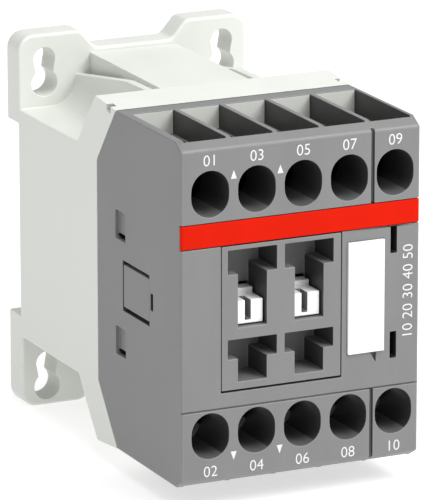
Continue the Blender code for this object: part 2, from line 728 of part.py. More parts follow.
def contact_carrier(group, cutters, material):
    """The sliding carrier: two white actuators, four contact windows and the magnet clevis."""
    carrier = block(
        "contact_carrier", CARRIER_X, (CARRIER_FRONT_Y, CARRIER_REAR_Y),
        (-CARRIER_HALF_HEIGHT, CARRIER_HALF_HEIGHT), group)
    additions = new_collection("contact_carrier_additions", cutters)
    block("carrier_neck", (-9.6, 9.6), (CARRIER_REAR_Y - 0.8, -39.2), (-3.3, 3.3), additions)
    block("spring_wings", (-18.6, 18.6), (-41.2, -39.4), (-3.0, 3.0), additions)
    for sign, side in ((-1, "left"), (1, "right")):
        block(f"clevis_{side}", mirrored((6.8, 9.4), sign), (-40.2, -33.7), (-3.4, 3.4), additions)
    for number, x in enumerate(T_COLUMNS, 1):
        span = around(x, ACTUATOR_HALF_WIDTH)
        block(
            f"actuator_{number}", span, (ACTUATOR_FRONT_Y, CARRIER_FRONT_Y + 0.8),
            ACTUATOR_FRONT_Z, additions)
        block(
            f"actuator_back_{number}", span, (ACTUATOR_BACK_Y, CARRIER_FRONT_Y + 0.7),
            ACTUATOR_BACK_Z, additions)
    join(carrier, additions)
    openings = new_collection("contact_carrier_openings", cutters)
    for number, x in enumerate(T_COLUMNS, 1):
        block(
            f"actuator_slot_{number}", (x + ACTUATOR_SLOT_X[0], x + ACTUATOR_SLOT_X[1]),
            (ACTUATOR_FRONT_Y - 1, ACTUATOR_SLOT_REAR_Y), (-1.8, 2.0), openings)
    for number, x in enumerate(POLES, 1):
        block(
            f"contact_window_{number}", around(x, WINDOW_HALF_WIDTH), (WINDOW_FRONT_Y, WINDOW_REAR_Y),
            (-CARRIER_HALF_HEIGHT - 1, CARRIER_HALF_HEIGHT + 1), openings)
    rod("clevis_hole", (0, PIN_Y, 0), PIN_RADIUS + GAP, 24.0, "X", openings)
    cut(carrier, openings)
    return finish(carrier, material)


def e_profile(back_y, inner_y, pole_y, centre_pole_y):
    """An E seen from the side: a yoke with two outer legs and a centre leg."""
    upper = [
        (back_y, CORE_HALF_HEIGHT), (pole_y, CORE_HALF_HEIGHT), (pole_y, OUTER_LEG_Z),
        (inner_y, OUTER_LEG_Z), (inner_y, CENTRE_LEG_Z), (centre_pole_y, CENTRE_LEG_Z),
    ]
    lower = [(y, -z) for y, z in reversed(upper)]
    return upper + lower


def fixed_core(group, cutters, material):
    """The laminated fixed core, grooved for its shading rings."""
    profile = e_profile(CORE_REAR_Y, CORE_YOKE_Y, POLE_FACE_Y, POLE_FACE_Y + 0.2)
    core = slab("fixed_core", [profile], (-CORE_HALF_STACK, CORE_HALF_STACK), "X", group)
    for sign, side in ((1, "top"), (-1, "bottom")):
        cut(core, block(
            f"ring_groove_{side}", (-CORE_HALF_STACK - 1, CORE_HALF_STACK + 1), (POLE_FACE_Y - 1, -18.0),
            mirrored((11.6, 13.1), sign), cutters))
    return finish(core, material)


def shading_ring(side, sign, group, material):
    """The copper ring in the face of one outer leg."""
    outer = rectangle((-7.7, 7.7), mirrored((11.9, 15.7), sign))
    inner = rectangle((-6.8, 6.8), mirrored((12.8, 14.8), sign))
    ring = slab(f"shading_ring_{side}", [outer, inner], (-19.5, -18.3), "Y", group)
    return finish(ring, material)


def armature(group, cutters, material):
    """The laminated moving core, drilled for its pin."""
    profile = e_profile(ARMATURE_FRONT_Y, ARMATURE_YOKE_Y, ARMATURE_POLE_Y, ARMATURE_POLE_Y)
    core = slab("armature", [profile], (-CORE_HALF_STACK + 0.1, CORE_HALF_STACK - 0.1), "X", group)
    cut(core, rod("armature_hole", (0, PIN_Y, 0), PIN_RADIUS + GAP, 20.0, "X", cutters))
    return finish(core, material)


def coil_bobbin(group, cutters, material):
    """The bobbin, whose front flange also seats the return springs."""
    bobbin = block("coil_bobbin", (-7.8, 7.8), (-28.3, -9.4), (-4.9, 4.9), group)
    join(bobbin, block("front_flange", (-19.4, 19.4), (-28.5, -27.3), (-9.7, 9.7), cutters))
    join(bobbin, block("rear_flange", (-12.6, 12.6), (-10.2, -9.2), (-9.7, 9.7), cutters))
    cut(bobbin, block("bobbin_bore", (-6.9, 6.9), (-30.0, -8.0), (-4.0, 4.0), cutters))
    return finish(bobbin, material)


def coil_winding(group, material):
    """The wound coil as one ring with rounded corners."""
    corner = 2.4
    outer = []
    for centre, start in (
            ((12.2 - corner, 9.3 - corner), 0.0), ((-12.2 + corner, 9.3 - corner), 90.0),
            ((-12.2 + corner, -9.3 + corner), 180.0), ((12.2 - corner, -9.3 + corner), 270.0)):
        outer += arc(centre, corner, start, start + 90.0, 3)
    inner = rectangle((-8.1, 8.1), (-5.2, 5.2))
    winding = slab("coil_winding", [outer, inner], (-27.0, -10.5), "Y", group)
    return finish(winding, material)


def core_cushion(group, material):
    """The rubber pad between the fixed core and the rear wall."""
    cushion = block("core_cushion", (-7.5, 7.5), (-2.9, -2.1), (-13.5, 13.5), group)
    return finish(cushion, material)


# ---------------------------------------------------------------- the whole contactor

def make_materials():
    """One material for each kind of surface."""
    return {
        "dark": make_material("dark_grey_plastic", (0.27, 0.28, 0.275), 0.55),
        "light": make_material("light_grey_plastic", (0.78, 0.79, 0.76), 0.5),
        "red": make_material("red_plastic", (0.8, 0.06, 0.03), 0.4),
        "white": make_material("white_plastic", (0.86, 0.86, 0.84), 0.45),
        "black": make_material("black_plastic", (0.05, 0.05, 0.05), 0.5),
        "steel": make_material("zinc_plated_steel", (0.62, 0.62, 0.6), 0.35, 1.0),
        "copper": make_material("plated_copper", (0.72, 0.6, 0.42), 0.3, 1.0),
        "winding": make_material("enamelled_wire", (0.45, 0.17, 0.06), 0.35, 0.6),
        "laminations": make_material("core_laminations", (0.34, 0.34, 0.35), 0.45, 1.0),
        "spring": make_material("spring_steel", (0.55, 0.55, 0.56), 0.3, 1.0),
        "rubber": make_material("black_rubber", (0.04, 0.04, 0.04), 0.8),
    }


def build_case(group, cutters, materials):
    """The two shells and everything fixed to the outside."""
    front_housing(group, cutters, materials["dark"])
    rear_housing(group, cutters, materials["light"])
    interface_panel(group, cutters, materials["dark"])
    accent_band(group, materials["red"])
    interlock_cover("left", -1, group, materials["dark"])
    interlock_cover("right", 1, group, materials["dark"])
    plate = marker_plate(group, cutters, materials["white"])
    carry(axis_empty("marker_slide", (12.45, FRONT_Y, -0.1), group), [plate])
    latch = rail_latch(group, cutters, materials["black"])
    carry(axis_empty("latch_slide", (0, 2.7, -17), group), [latch])
    coil_spring(
        "rail_latch_spring", (0, 2.7, -25.7), (0, 2.7, -19.3), 1.0, 0.2, 7, materials["spring"], group)


def build_terminals(group, cutters, materials):
    """The terminal screws, clamps, fixed contacts and coil strips, top and bottom."""
    for sign, side in ((1, "top"), (-1, "bottom")):
        for number, x in enumerate(COLUMNS, 1):
            screw = terminal_screw(side, sign, number, x, group, cutters, materials["steel"])
            clamp = terminal_clamp(side, sign, number, x, group, cutters, materials["steel"])
            centre = (x, SCREW_HEAD_Y[0], TERMINAL_Z * sign)
            carry(axis_empty(f"screw_axis_{side}_{number}", centre, group), [screw, clamp])
            if number <= len(POLES):
                fixed_contact(side, sign, number, x, group, cutters, materials)
            else:
                terminal_strip(
                    f"coil_terminal_{side}", x, sign, -29.2, 6.0, group, cutters, materials["copper"])


def build_mechanism(group, cutters, materials):
    """The carrier with its contacts and springs, and the magnet that moves it."""
    carrier = contact_carrier(group, cutters, materials["white"])
    moving_core = armature(group, cutters, materials["laminations"])
    pin = rod("armature_pin", (0, PIN_Y, 0), PIN_RADIUS, 18.4, "X", group)
    finish(pin, materials["steel"], smooth=True)
    moving = [carrier, moving_core, pin]
    for number, x in enumerate(POLES, 1):
        bridge = moving_bridge(number, x, group, cutters, materials["copper"])
        carry(axis_empty(f"bridge_slide_{number}", (x, -47.6, 0), group), [bridge])
        moving.append(coil_spring(
            f"contact_spring_{number}", (x, -57.1, 0), (x, -48.4, 0), 1.9, 0.28, 6,
            materials["spring"], group))
    carry(axis_empty("carrier_slide", (0, PIN_Y, 0), group), moving)
    for sign, side in ((-1, "left"), (1, "right")):
        x = RETURN_SPRING_X * sign
        coil_spring(
            f"return_spring_{side}", (x, -28.8, 0), (x, -39.1, 0), 2.1, 0.3, 6, materials["spring"], group)
    fixed_core(group, cutters, materials["laminations"])
    shading_ring("top", 1, group, materials["copper"])
    shading_ring("bottom", -1, group, materials["copper"])
    coil_bobbin(group, cutters, materials["black"])
    coil_winding(group, materials["winding"])
    core_cushion(group, materials["rubber"])


def main():
    """Clear the scene and build the contactor."""
    for item in list(bpy.data.objects):
        bpy.data.objects.remove(item)
    group = new_collection("din_rail_contactor")
    cutters = new_collection("cutters")
    materials = make_materials()
    build_case(group, cutters, materials)
    build_terminals(group, cutters, materials)
    build_mechanism(group, cutters, materials)


main()
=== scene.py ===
import json
import math

import bmesh
import bpy
from bpy.props import FloatProperty, FloatVectorProperty, PointerProperty, StringProperty
from bpy.types import Operator, Panel, PropertyGroup
from mathutils import Matrix, Vector

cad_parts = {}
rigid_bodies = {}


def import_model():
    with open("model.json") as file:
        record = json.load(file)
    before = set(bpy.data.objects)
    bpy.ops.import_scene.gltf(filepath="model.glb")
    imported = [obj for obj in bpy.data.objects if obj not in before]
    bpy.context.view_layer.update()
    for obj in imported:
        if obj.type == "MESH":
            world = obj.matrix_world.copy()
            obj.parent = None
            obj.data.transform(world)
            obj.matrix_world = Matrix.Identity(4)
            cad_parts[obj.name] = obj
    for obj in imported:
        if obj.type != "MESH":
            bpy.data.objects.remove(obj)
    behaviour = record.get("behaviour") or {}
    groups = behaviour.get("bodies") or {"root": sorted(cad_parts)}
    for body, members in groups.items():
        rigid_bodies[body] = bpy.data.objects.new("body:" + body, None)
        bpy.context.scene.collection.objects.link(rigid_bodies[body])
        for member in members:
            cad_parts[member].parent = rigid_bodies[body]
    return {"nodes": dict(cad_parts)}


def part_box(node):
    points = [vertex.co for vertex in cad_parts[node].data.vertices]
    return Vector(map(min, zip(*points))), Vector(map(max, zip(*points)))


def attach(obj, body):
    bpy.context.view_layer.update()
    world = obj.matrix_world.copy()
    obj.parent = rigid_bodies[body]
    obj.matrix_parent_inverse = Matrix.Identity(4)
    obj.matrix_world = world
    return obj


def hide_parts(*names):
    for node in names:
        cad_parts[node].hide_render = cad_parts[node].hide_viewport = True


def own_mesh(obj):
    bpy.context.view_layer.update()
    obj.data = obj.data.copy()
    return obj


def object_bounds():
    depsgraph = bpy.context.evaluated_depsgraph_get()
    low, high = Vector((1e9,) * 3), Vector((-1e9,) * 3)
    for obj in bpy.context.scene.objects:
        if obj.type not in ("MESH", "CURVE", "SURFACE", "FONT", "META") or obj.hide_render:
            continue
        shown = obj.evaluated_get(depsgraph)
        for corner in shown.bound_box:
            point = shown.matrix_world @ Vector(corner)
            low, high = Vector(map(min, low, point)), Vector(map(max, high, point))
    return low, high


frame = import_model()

bl_info = {
    "name": "DIN rail contactor",
    "version": (1, 0, 0),
    "blender": (4, 5, 0),
    "location": "3D View > Sidebar > Contactor",
    "description": "Models and finishes the pieces of a four-pole DIN rail contactor",
    "category": "Object",
}

# Shapes are modelled in millimetres and made metres when they become pieces.
METRES_PER_MM = 0.001
MERGE_DISTANCE = 0.0005
SHARP_ANGLE = math.radians(35)
CREASE_ANGLE = math.radians(50)
CAD_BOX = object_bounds()


def span_mm(node, axis):
    """The lowest and highest coordinate of a CAD node along an axis (0, 1 or 2), in millimetres."""
    low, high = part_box(node)
    return (low[axis] / METRES_PER_MM, high[axis] / METRES_PER_MM)


def middle(span):
    """The middle of a span."""
    return (span[0] + span[1]) / 2


# ------------------------------------------------------------------ sizes taken from the CAD

HALF_WIDTH = span_mm("front_housing", 0)[1]
FRONT_Y = span_mm("front_housing", 1)[0]
CASE_HALF_HEIGHT = span_mm("front_housing", 2)[1]
COLUMNS = [middle(span_mm(f"terminal_screw_top_{number}", 0)) for number in range(1, 6)]
POLES = COLUMNS[:4]
TERMINAL_Z = middle(span_mm("terminal_screw_top_1", 2))
SIDES = ((1, "top"), (-1, "bottom"))

FRONT_HALF_HEIGHT = 29.0
CHAMFER_Y = -67.0
SHOULDER_Y = -43.1
SEAM_Y = -35.0
SEAM_HALF_HEIGHT = 19.9
BODY_HALF_HEIGHT = 21.2
WALL = 1.6
POCKET_FLOOR_Z = 26.0
POCKET_Y = (-67.4, -46.2)
POCKET_HALF_WIDTH = 3.9
SCREW_HOLE_HALF = (3.5, 4.05)
WELL_Y = (-58.0, -47.0)
WELL_HALF_WIDTH = 3.6
WELL_FLOOR_Z = 16.8
STRIP_WAY_Y = (-51.1, -48.7)
CHAMBER_Y = (-59.0, -39.2)
BAND_Z = (11.85, 16.25)
GROOVE_X = (13.2, 13.8)
GROOVE_Z = (-16.8, -16.5)
FRONT_SLOT_X = (17.0, 18.2)
FRONT_SLOT_Z = (7.0, 11.7)
COVER_WINDOW_Y = (-56.4, -45.4)
COVER_WINDOW_Z = (-4.55, 4.45)
PRY_SLOT_Y = (-57.9, -56.9)
PRY_SLOT_Z = (-1.55, 1.45)
SIDE_RECESS_Y = (-46.5, -42.3)
SIDE_RECESS_FLOORS = (7.75, -13.05)
PANEL_X = (-15.1, 7.7)
PANEL_Z = (-13.75, 11.95)
PANEL_REAR_Y = span_mm("interface_panel", 1)[1]
T_COLUMNS = (-9.2, 1.5)
T_BAR_HALF_WIDTH = 4.6
T_STEM_HALF_WIDTH = 2.7
T_UPPER = (11.0, 6.75, -2.7)
T_LOWER = (-4.75, -8.15, -12.25)
ACTUATOR_HOLE_Z = (-2.8, 3.05)
MARKER_RECESS_X = (8.7, 15.8)
MARKER_RECESS_Z = (-10.15, 9.9)
MARKER_PEG_Z = (6.8, 8.2)
COLLAR_NOTCH_X = (21.3, 23.5)
PLATE_Y = (-0.6, 5.0)
RIB_X = 10.55
KEYHOLES = ((1, 25.6), (-1, -31.0))
KEYHOLE_X = 17.5
LATCH_GROOVES = 4
ARROW_X = (-12.75, -4.05)

# How dark the painted shade on the walls of openings is, from 0 as outside to 1 nearly black.
# A second value is for the right wall, which faces away from the key light and gets more painted shade.
HOLE_DARK = (0.35, 0.85)
POCKET_DARK = (0.0, 0.8)
T_DARK = (0.05, 0.85)
INSIDE_DARK = 0.9
SLOT_DARK = 0.95
GROOVE_DARK = 0.7

# Radii of the rounded edges of single pieces.
TRIM_EDGE = 0.12
PLATE_EDGE = 0.55
BODY_EDGE = 0.5
COVER_EDGE = 0.15
LATCH_EDGE = 0.13
WASHER_EDGE = 0.1
FOOT_HALF_HEIGHT = span_mm("rear_housing", 2)[1]


# ------------------------------------------------------------------ settings

class ContactorShape(PropertyGroup):
    """Sizes of the details that the CAD leaves plain."""

    corner_radius: FloatProperty(
        name="Corner radius", description="Radius of the front shell's outer edges",
        default=0.0004, min=0.0002, max=0.0015, unit="LENGTH")
    edge_radius: FloatProperty(
        name="Edge radius", description="Radius of the moulded edges of openings and ribs",
        default=0.00014, min=0.00005, max=0.0003, unit="LENGTH")
    numeral_height: FloatProperty(
        name="Numeral height", description="Height of the terminal numbers",
        default=0.002, min=0.001, max=0.003, unit="LENGTH")
    ink_thickness: FloatProperty(
        name="Ink thickness", description="How far the printed marks stand above the plastic",
        default=0.00004, min=0.00001, max=0.0001, unit="LENGTH")
    thread_pitch: FloatProperty(
        name="Thread pitch", description="Distance between the crests of the terminal screws' thread",
        default=0.0006, min=0.0004, max=0.001, unit="LENGTH")


class ContactorFinish(PropertyGroup):
    """Colours of the plastics and metals."""

    dark_grey: FloatVectorProperty(
        name="Dark grey", description="Plastic of the front shell and the attachment panel",
        default=(0.184, 0.186, 0.185), subtype="COLOR", min=0.0, max=1.0)
    light_grey: FloatVectorProperty(
        name="Light grey", description="Plastic of the rear shell",
        default=(0.66, 0.675, 0.635), subtype="COLOR", min=0.0, max=1.0)
    red: FloatVectorProperty(
        name="Red", description="Plastic of the band across the front",
        default=(0.60, 0.010, 0.001), subtype="COLOR", min=0.0, max=1.0)
    white: FloatVectorProperty(
        name="White", description="Plastic of the carrier and the marker plate",
        default=(0.86, 0.86, 0.85), subtype="COLOR", min=0.0, max=1.0)
    black: FloatVectorProperty(
        name="Black", description="Plastic of the rail latch and the coil bobbin",
        default=(0.024, 0.024, 0.026), subtype="COLOR", min=0.0, max=1.0)
    ink: FloatVectorProperty(
        name="Ink", description="Printed numbers and marks",
        default=(0.76, 0.77, 0.76), subtype="COLOR", min=0.0, max=1.0)


class ContactorStage(PropertyGroup):
    """The floor, the lights and the camera."""

    azimuth: FloatProperty(
        name="Azimuth", description="Turn of the camera about the vertical",
        default=math.radians(-25.30), subtype="ANGLE")
    elevation: FloatProperty(
        name="Elevation", description="Height of the camera above the horizon",
        default=math.radians(15.29), subtype="ANGLE")
    distance: FloatProperty(
        name="Distance", description="Distance from the camera to its aim point",
        default=0.9028, min=0.1, unit="LENGTH")
    lens: FloatProperty(
        name="Lens", description="Focal length of the camera in millimetres",
        default=374.7, min=20.0)
    key_power: FloatProperty(
        name="Key power", description="Power of the soft light above the front",
        default=2.3, min=0.0, unit="POWER")
    sky_strength: FloatProperty(
        name="Sky strength", description="Brightness of the even light from all around",
        default=0.6, min=0.0)


# ------------------------------------------------------------------ shapes

AXES = {"X": Vector((1, 0, 0)), "Y": Vector((0, 1, 0)), "Z": Vector((0, 0, 1))}
ROD_TURN = {
    "X": Matrix.Rotation(math.radians(90), 4, "Y"),
    "Y": Matrix.Rotation(math.radians(-90), 4, "X"),
    "Z": Matrix.Identity(4),
}


def brick(x_span, y_span, z_span):
    """A box between three pairs of coordinates."""
    spans = (x_span, y_span, z_span)
    shape = bmesh.new()
    bmesh.ops.create_cube(shape, size=1.0)
    bmesh.ops.scale(shape, vec=[high - low for low, high in spans], verts=shape.verts)
    bmesh.ops.translate(shape, vec=[middle(span) for span in spans], verts=shape.verts)
    return shape


def place_in(axis, along, first, second):
    """The point at a distance along an axis, with its outline coordinates in the other two."""
    return {"X": (along, first, second), "Y": (first, along, second), "Z": (first, second, along)}[axis]


def prism(outline, span, axis):
    """An outline pushed along an axis: (Y, Z) points for X, (X, Z) for Y and (X, Y) for Z."""
    shape = bmesh.new()
    face = shape.faces.new([shape.verts.new(place_in(axis, span[0], *point)) for point in outline])
    pushed = bmesh.ops.extrude_face_region(shape, geom=[face])
    corners = [item for item in pushed["geom"] if isinstance(item, bmesh.types.BMVert)]
    bmesh.ops.translate(shape, vec=AXES[axis] * (span[1] - span[0]), verts=corners)
    bmesh.ops.recalc_face_normals(shape, faces=shape.faces)
    return shape


def rod(centre, radius, length, axis, sides=32):
    """A round bar."""
    shape = bmesh.new()
    bmesh.ops.create_cone(shape, cap_ends=True, segments=sides, radius1=radius, radius2=radius, depth=length)
    bmesh.ops.transform(shape, matrix=Matrix.Translation(centre) @ ROD_TURN[axis], verts=shape.verts)
    return shape


def lathe(profile, centre, axis, steps=32):
    """A profile of (distance along the axis, radius) points turned about the axis; both ends lie on it."""
    shape = bmesh.new()
    other = {"X": "Z", "Y": "X", "Z": "X"}[axis]
    points = [AXES[axis] * along + AXES[other] * radius for along, radius in profile]
    corners = [shape.verts.new(Vector(centre) + point) for point in points]
    edges = [shape.edges.new(pair) for pair in zip(corners, corners[1:])]
    bmesh.ops.spin(
        shape, geom=corners + edges, cent=centre, axis=AXES[axis], angle=math.tau,
        steps=steps, use_merge=True)
    bmesh.ops.remove_doubles(shape, verts=shape.verts, dist=MERGE_DISTANCE)
    bmesh.ops.recalc_face_normals(shape, faces=shape.faces)
    return shape


def arc(centre, radius, start, end, steps):
    """Outline points along a circular arc, with angles in degrees."""
    angles = [math.radians(start + (end - start) * step / steps) for step in range(steps + 1)]
    return [(centre[0] + radius * math.cos(angle), centre[1] + radius * math.sin(angle)) for angle in angles]


def helix(start, end, radius, wire_radius, turns, steps=20):
    """A coil spring whose wire fills the length from one point to another."""
    shape = bmesh.new()
    circle = bmesh.ops.create_circle(shape, cap_ends=True, segments=8, radius=wire_radius)["verts"]
    turn = Matrix.Rotation(math.radians(90), 4, "X")
    bmesh.ops.transform(shape, matrix=Matrix.Translation((radius, 0, wire_radius)) @ turn, verts=circle)
    line = Vector(end) - Vector(start)
    rise = line.length - 2 * wire_radius
    geometry = list(shape.verts) + list(shape.edges) + list(shape.faces)
    bmesh.ops.spin(
        shape, geom=geometry, cent=(0, 0, 0), axis=(0, 0, 1), dvec=(0, 0, rise / (turns * steps)),
        angle=math.tau * turns, steps=turns * steps)
    bmesh.ops.remove_doubles(shape, verts=shape.verts, dist=MERGE_DISTANCE)
    place = Matrix.Translation(start) @ line.to_track_quat("Z", "Y").to_matrix().to_4x4()
    bmesh.ops.transform(shape, matrix=place, verts=shape.verts)
    bmesh.ops.recalc_face_normals(shape, faces=shape.faces)
    return shape


def stadium(x, z, half_width, half_height, steps=14):
    """An upright slot with round ends."""
    lift = half_height - half_width
    return arc((x, z + lift), half_width, 0, 180, steps) + arc((x, z - lift), half_width, 180, 360, steps)


def rounded_box_outline(first_span, second_span, radius, steps=4):
    """A rectangle with rounded corners."""
    low_first, high_first = first_span[0] + radius, first_span[1] - radius
    low_second, high_second = second_span[0] + radius, second_span[1] - radius
    corners = (
        (high_first, high_second, 0), (low_first, high_second, 90),
        (low_first, low_second, 180), (high_first, low_second, 270),
    )
    points = []
    for first, second, start in corners:
        points += arc((first, second), radius, start, start + 90, steps)
    return points


def around(centre, half):
    """The span of a given half width around a centre."""
    return (centre - half, centre + half)


def mirrored(span, sign):
    """A span on the upper or right side for sign 1, or its mirror image for sign -1."""
    return tuple(sorted((span[0] * sign, span[1] * sign)))


def flipped(outline, sign):
    """An outline as it is for sign 1, or upside down for sign -1."""
    return [(first, second * sign) for first, second in outline]


def bench_object(name, shape):
    """A temporary object made of a shape, which is used up."""
    mesh = bpy.data.meshes.new(name)
    shape.to_mesh(mesh)
    shape.free()
    return bpy.data.objects.new(name, mesh)


def combine(base, tools, operation):
    """Join shapes to a base shape (UNION) or cut them out of it (DIFFERENCE)."""
    scene = bpy.context.scene
    bench = bpy.data.collections.new("bench")
    scene.collection.children.link(bench)
    body = bench_object("base", base)
    scene.collection.objects.link(body)
    for tool in tools:
        bench.objects.link(bench_object("tool", tool))
    modifier = body.modifiers.new("combine", "BOOLEAN")
    modifier.operation = operation
    modifier.solver = "EXACT"
    modifier.operand_type = "COLLECTION"
    modifier.collection = bench
    bpy.context.view_layer.update()
    evaluated = body.evaluated_get(bpy.context.evaluated_depsgraph_get())
    result = bmesh.new()
    result.from_mesh(evaluated.to_mesh())
    evaluated.to_mesh_clear()
    for item in [body, *bench.objects]:
        bpy.data.meshes.remove(item.data)
    bpy.data.collections.remove(bench)
    bmesh.ops.remove_doubles(result, verts=result.verts, dist=MERGE_DISTANCE)
    return result


def hollow(shape, darkness, right_wall=None):
    """Mark an opening's shape with the painted shade of the walls it leaves, as a darkness; the right wall
    can differ.
    """
    recess = shape.faces.layers.float.new("recess")
    for face in shape.faces:
        is_right = right_wall is not None and face.normal.x > 0.7
        face[recess] = right_wall if is_right else darkness
    return shape


def joined(base, additions):
    """The base with other shapes added."""
    return combine(base, additions, "UNION")


def carved(base, openings):
    """The base with other shapes cut out."""
    return combine(base, openings, "DIFFERENCE")


def soften(shape, radius, segments=2, where=None, polish=1.0):
    """Round the sharp edges, or those whose middle passes a test, mark how worn the new faces are, and halve
    their painted shade.
    """
    wear = shape.faces.layers.float.get("wear") or shape.faces.layers.float.new("wear")
    recess = shape.faces.layers.float.get("recess") or shape.faces.layers.float.new("recess")
    edges = []
    for edge in shape.edges:
        if len(edge.link_faces) != 2 or edge.calc_face_angle(0.0) < SHARP_ANGLE:
            continue
        if where is None or where((edge.verts[0].co + edge.verts[1].co) / 2):
            edges.append(edge)
    made = bmesh.ops.bevel(
        shape, geom=edges, offset=radius, offset_type="OFFSET", segments=segments, profile=0.5,
        affect="EDGES", clamp_overlap=False, material=-1, loop_slide=True)
    for face in made["faces"]:
        face[wear] = polish
        # Halve the painted shade on the rounded faces.
        face[recess] *= 0.5
    return shape


def moved(shape, offset):
    """The shape at another place."""
    bmesh.ops.translate(shape, vec=offset, verts=shape.verts)
    return shape


def merged(shapes):
    """Several separate shapes as one."""
    result = bmesh.new()
    for shape in shapes:
        mesh = bpy.data.meshes.new("part")
        shape.to_mesh(mesh)
        shape.free()
        result.from_mesh(mesh)
        bpy.data.meshes.remove(mesh)
    return result


def add_piece(name, shape, body, slot, replaced=(), look=None):
    """Turn a shape into a finished piece that rides a CAD body and stands for CAD nodes."""
    bmesh.ops.scale(shape, vec=[METRES_PER_MM] * 3, verts=shape.verts)
    for corner in shape.verts:
        corner.co = [min(max(value, low), high) for value, low, high in zip(corner.co, *CAD_BOX)]
    mesh = bpy.data.meshes.new(name)
    shape.to_mesh(mesh)
    shape.free()
    mesh.materials.append(finish(look or slot))
    mesh.shade_smooth()
    mesh.set_sharp_from_angle(angle=CREASE_ANGLE)
    piece = bpy.data.objects.new(name, mesh)
    bpy.context.scene.collection.objects.link(piece)
    modifier = piece.modifiers.new("even shading", "WEIGHTED_NORMAL")
    modifier.keep_sharp = True
    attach(piece, body)
    if replaced:
        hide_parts(*replaced)
    return piece


# ------------------------------------------------------------------ finishes

def add_node(tree, kind, inputs=None, **values):
    """A shader node with its options, and its unlinked inputs by name."""
    node = tree.nodes.new(kind)
    for key, value in values.items():
        setattr(node, key, value)
    for key, value in (inputs or {}).items():
        node.inputs[key].default_value = value
    return node


def noise(tree, scale, detail=3.0, stretch=(1.0, 1.0, 1.0)):
    """A noise pattern fixed to the object, stretched along its axes."""
    place = add_node(tree, "ShaderNodeTexCoord")
    turn = add_node(tree, "ShaderNodeMapping", {"Scale": stretch})
    pattern = add_node(tree, "ShaderNodeTexNoise", {"Scale": scale, "Detail": detail, "Roughness": 0.6})
    tree.links.new(place.outputs["Object"], turn.inputs["Vector"])
    tree.links.new(turn.outputs["Vector"], pattern.inputs["Vector"])
    return pattern.outputs["Fac"]


def bands(tree, scale, direction, distortion=0.0):
    """Stripes across one direction of the object."""
    place = add_node(tree, "ShaderNodeTexCoord")
    pattern = add_node(
        tree, "ShaderNodeTexWave", {"Scale": scale, "Distortion": distortion, "Detail": 1.0},
        wave_type="BANDS", bands_direction=direction)
    tree.links.new(place.outputs["Object"], pattern.inputs["Vector"])
    return pattern.outputs["Fac"]


def spread(tree, source, low, high):
    """A 0 to 1 pattern spread over another range, with its middle half used."""
    ends = {"From Min": 0.3, "From Max": 0.7, "To Min": low, "To Max": high}
    node = add_node(tree, "ShaderNodeMapRange", ends)
    tree.links.new(source, node.inputs["Value"])
    return node.outputs["Result"]


def mix(tree, factor, first, second):
    """Two colours mixed by a pattern; a colour may be three numbers or another node's output."""
    node = add_node(tree, "ShaderNodeMix", data_type="RGBA")
    tree.links.new(factor, node.inputs["Factor"])
    for socket, colour in ((node.inputs["A"], first), (node.inputs["B"], second)):
        if isinstance(colour, bpy.types.NodeSocket):
            tree.links.new(colour, socket)
        else:
            socket.default_value = (*colour, 1.0)
    return node.outputs["Result"]


def multiply(tree, first, second):
    """The product of two patterns."""
    node = add_node(tree, "ShaderNodeMath", operation="MULTIPLY")
    tree.links.new(first, node.inputs[0])
    tree.links.new(second, node.inputs[1])
    return node.outputs["Value"]


def relief(tree, shader, height, depth, strength=1.0):
    """Raise the surface by a pattern, with its depth in metres; it adds to any relief already there."""
    bump = add_node(tree, "ShaderNodeBump", {"Strength": strength, "Distance": depth})
    tree.links.new(height, bump.inputs["Height"])
    before = shader.inputs["Normal"].links
    if before:
        tree.links.new(before[0].from_socket, bump.inputs["Normal"])
    tree.links.new(bump.outputs["Normal"], shader.inputs["Normal"])


def feed(tree, shader, colour, roughness):
    """Let patterns drive a shader's colour and roughness."""
    tree.links.new(colour, shader.inputs["Base Color"])
    tree.links.new(roughness, shader.inputs["Roughness"])


def shade(colour, factor):
    """A lighter or darker version of a colour."""
    return tuple(min(1.0, value * factor) for value in colour)


def new_finish(name, metallic=0.0, **inputs):
    """A material with its shader; keys are the shader's inputs with spaces as underscores."""
    material = bpy.data.materials.new(name)
    material.use_nodes = True
    shader = material.node_tree.nodes["Principled BSDF"]
    shader.inputs["Metallic"].default_value = metallic
    for key, value in inputs.items():
        shader.inputs[key.replace("_", " ")].default_value = value
    return material, material.node_tree, shader


def moulded_plastic(name, colour, gloss=(0.42, 0.56), grain=0.00012, grain_depth=0.000006, mottle=0.06,
                    edge=1.28, flow=0.04, shine=0.5):
    """Moulded plastic: spark-eroded grain, faint flow clouds, edges polished lighter by handling, and
    painted shade in openings.
    """
    material, tree, shader = new_finish(name, Specular_IOR_Level=shine)
    grain_pattern = noise(tree, 1.0 / grain, 2.0)
    clouds = noise(tree, 130.0, 4.0, (1.0, 0.6, 0.35))
    specks = noise(tree, 1800.0, 3.0)
    body = mix(tree, spread(tree, clouds, 0.0, 1.0), shade(colour, 1 - mottle), shade(colour, 1 + mottle))
    speckled = mix(tree, spread(tree, specks, 0.0, flow * 4), body, shade(colour, 0.8))
    worn = add_node(tree, "ShaderNodeAttribute", attribute_name="wear")
    rubbed = multiply(tree, worn.outputs["Fac"], spread(tree, noise(tree, 420.0, 4.0), 0.35, 1.0))
    outside = mix(tree, rubbed, speckled, shade(colour, edge))
    # Painted shade: the recess attribute darkens the walls of openings towards near black.
    recess = add_node(tree, "ShaderNodeAttribute", attribute_name="recess")
    inside = mix(tree, recess.outputs["Fac"], outside, shade(colour, 0.06))
    feed(tree, shader, inside, spread(tree, clouds, *gloss))
    relief(tree, shader, grain_pattern, grain_depth)
    relief(tree, shader, clouds, 0.00002, 0.5)
    return material


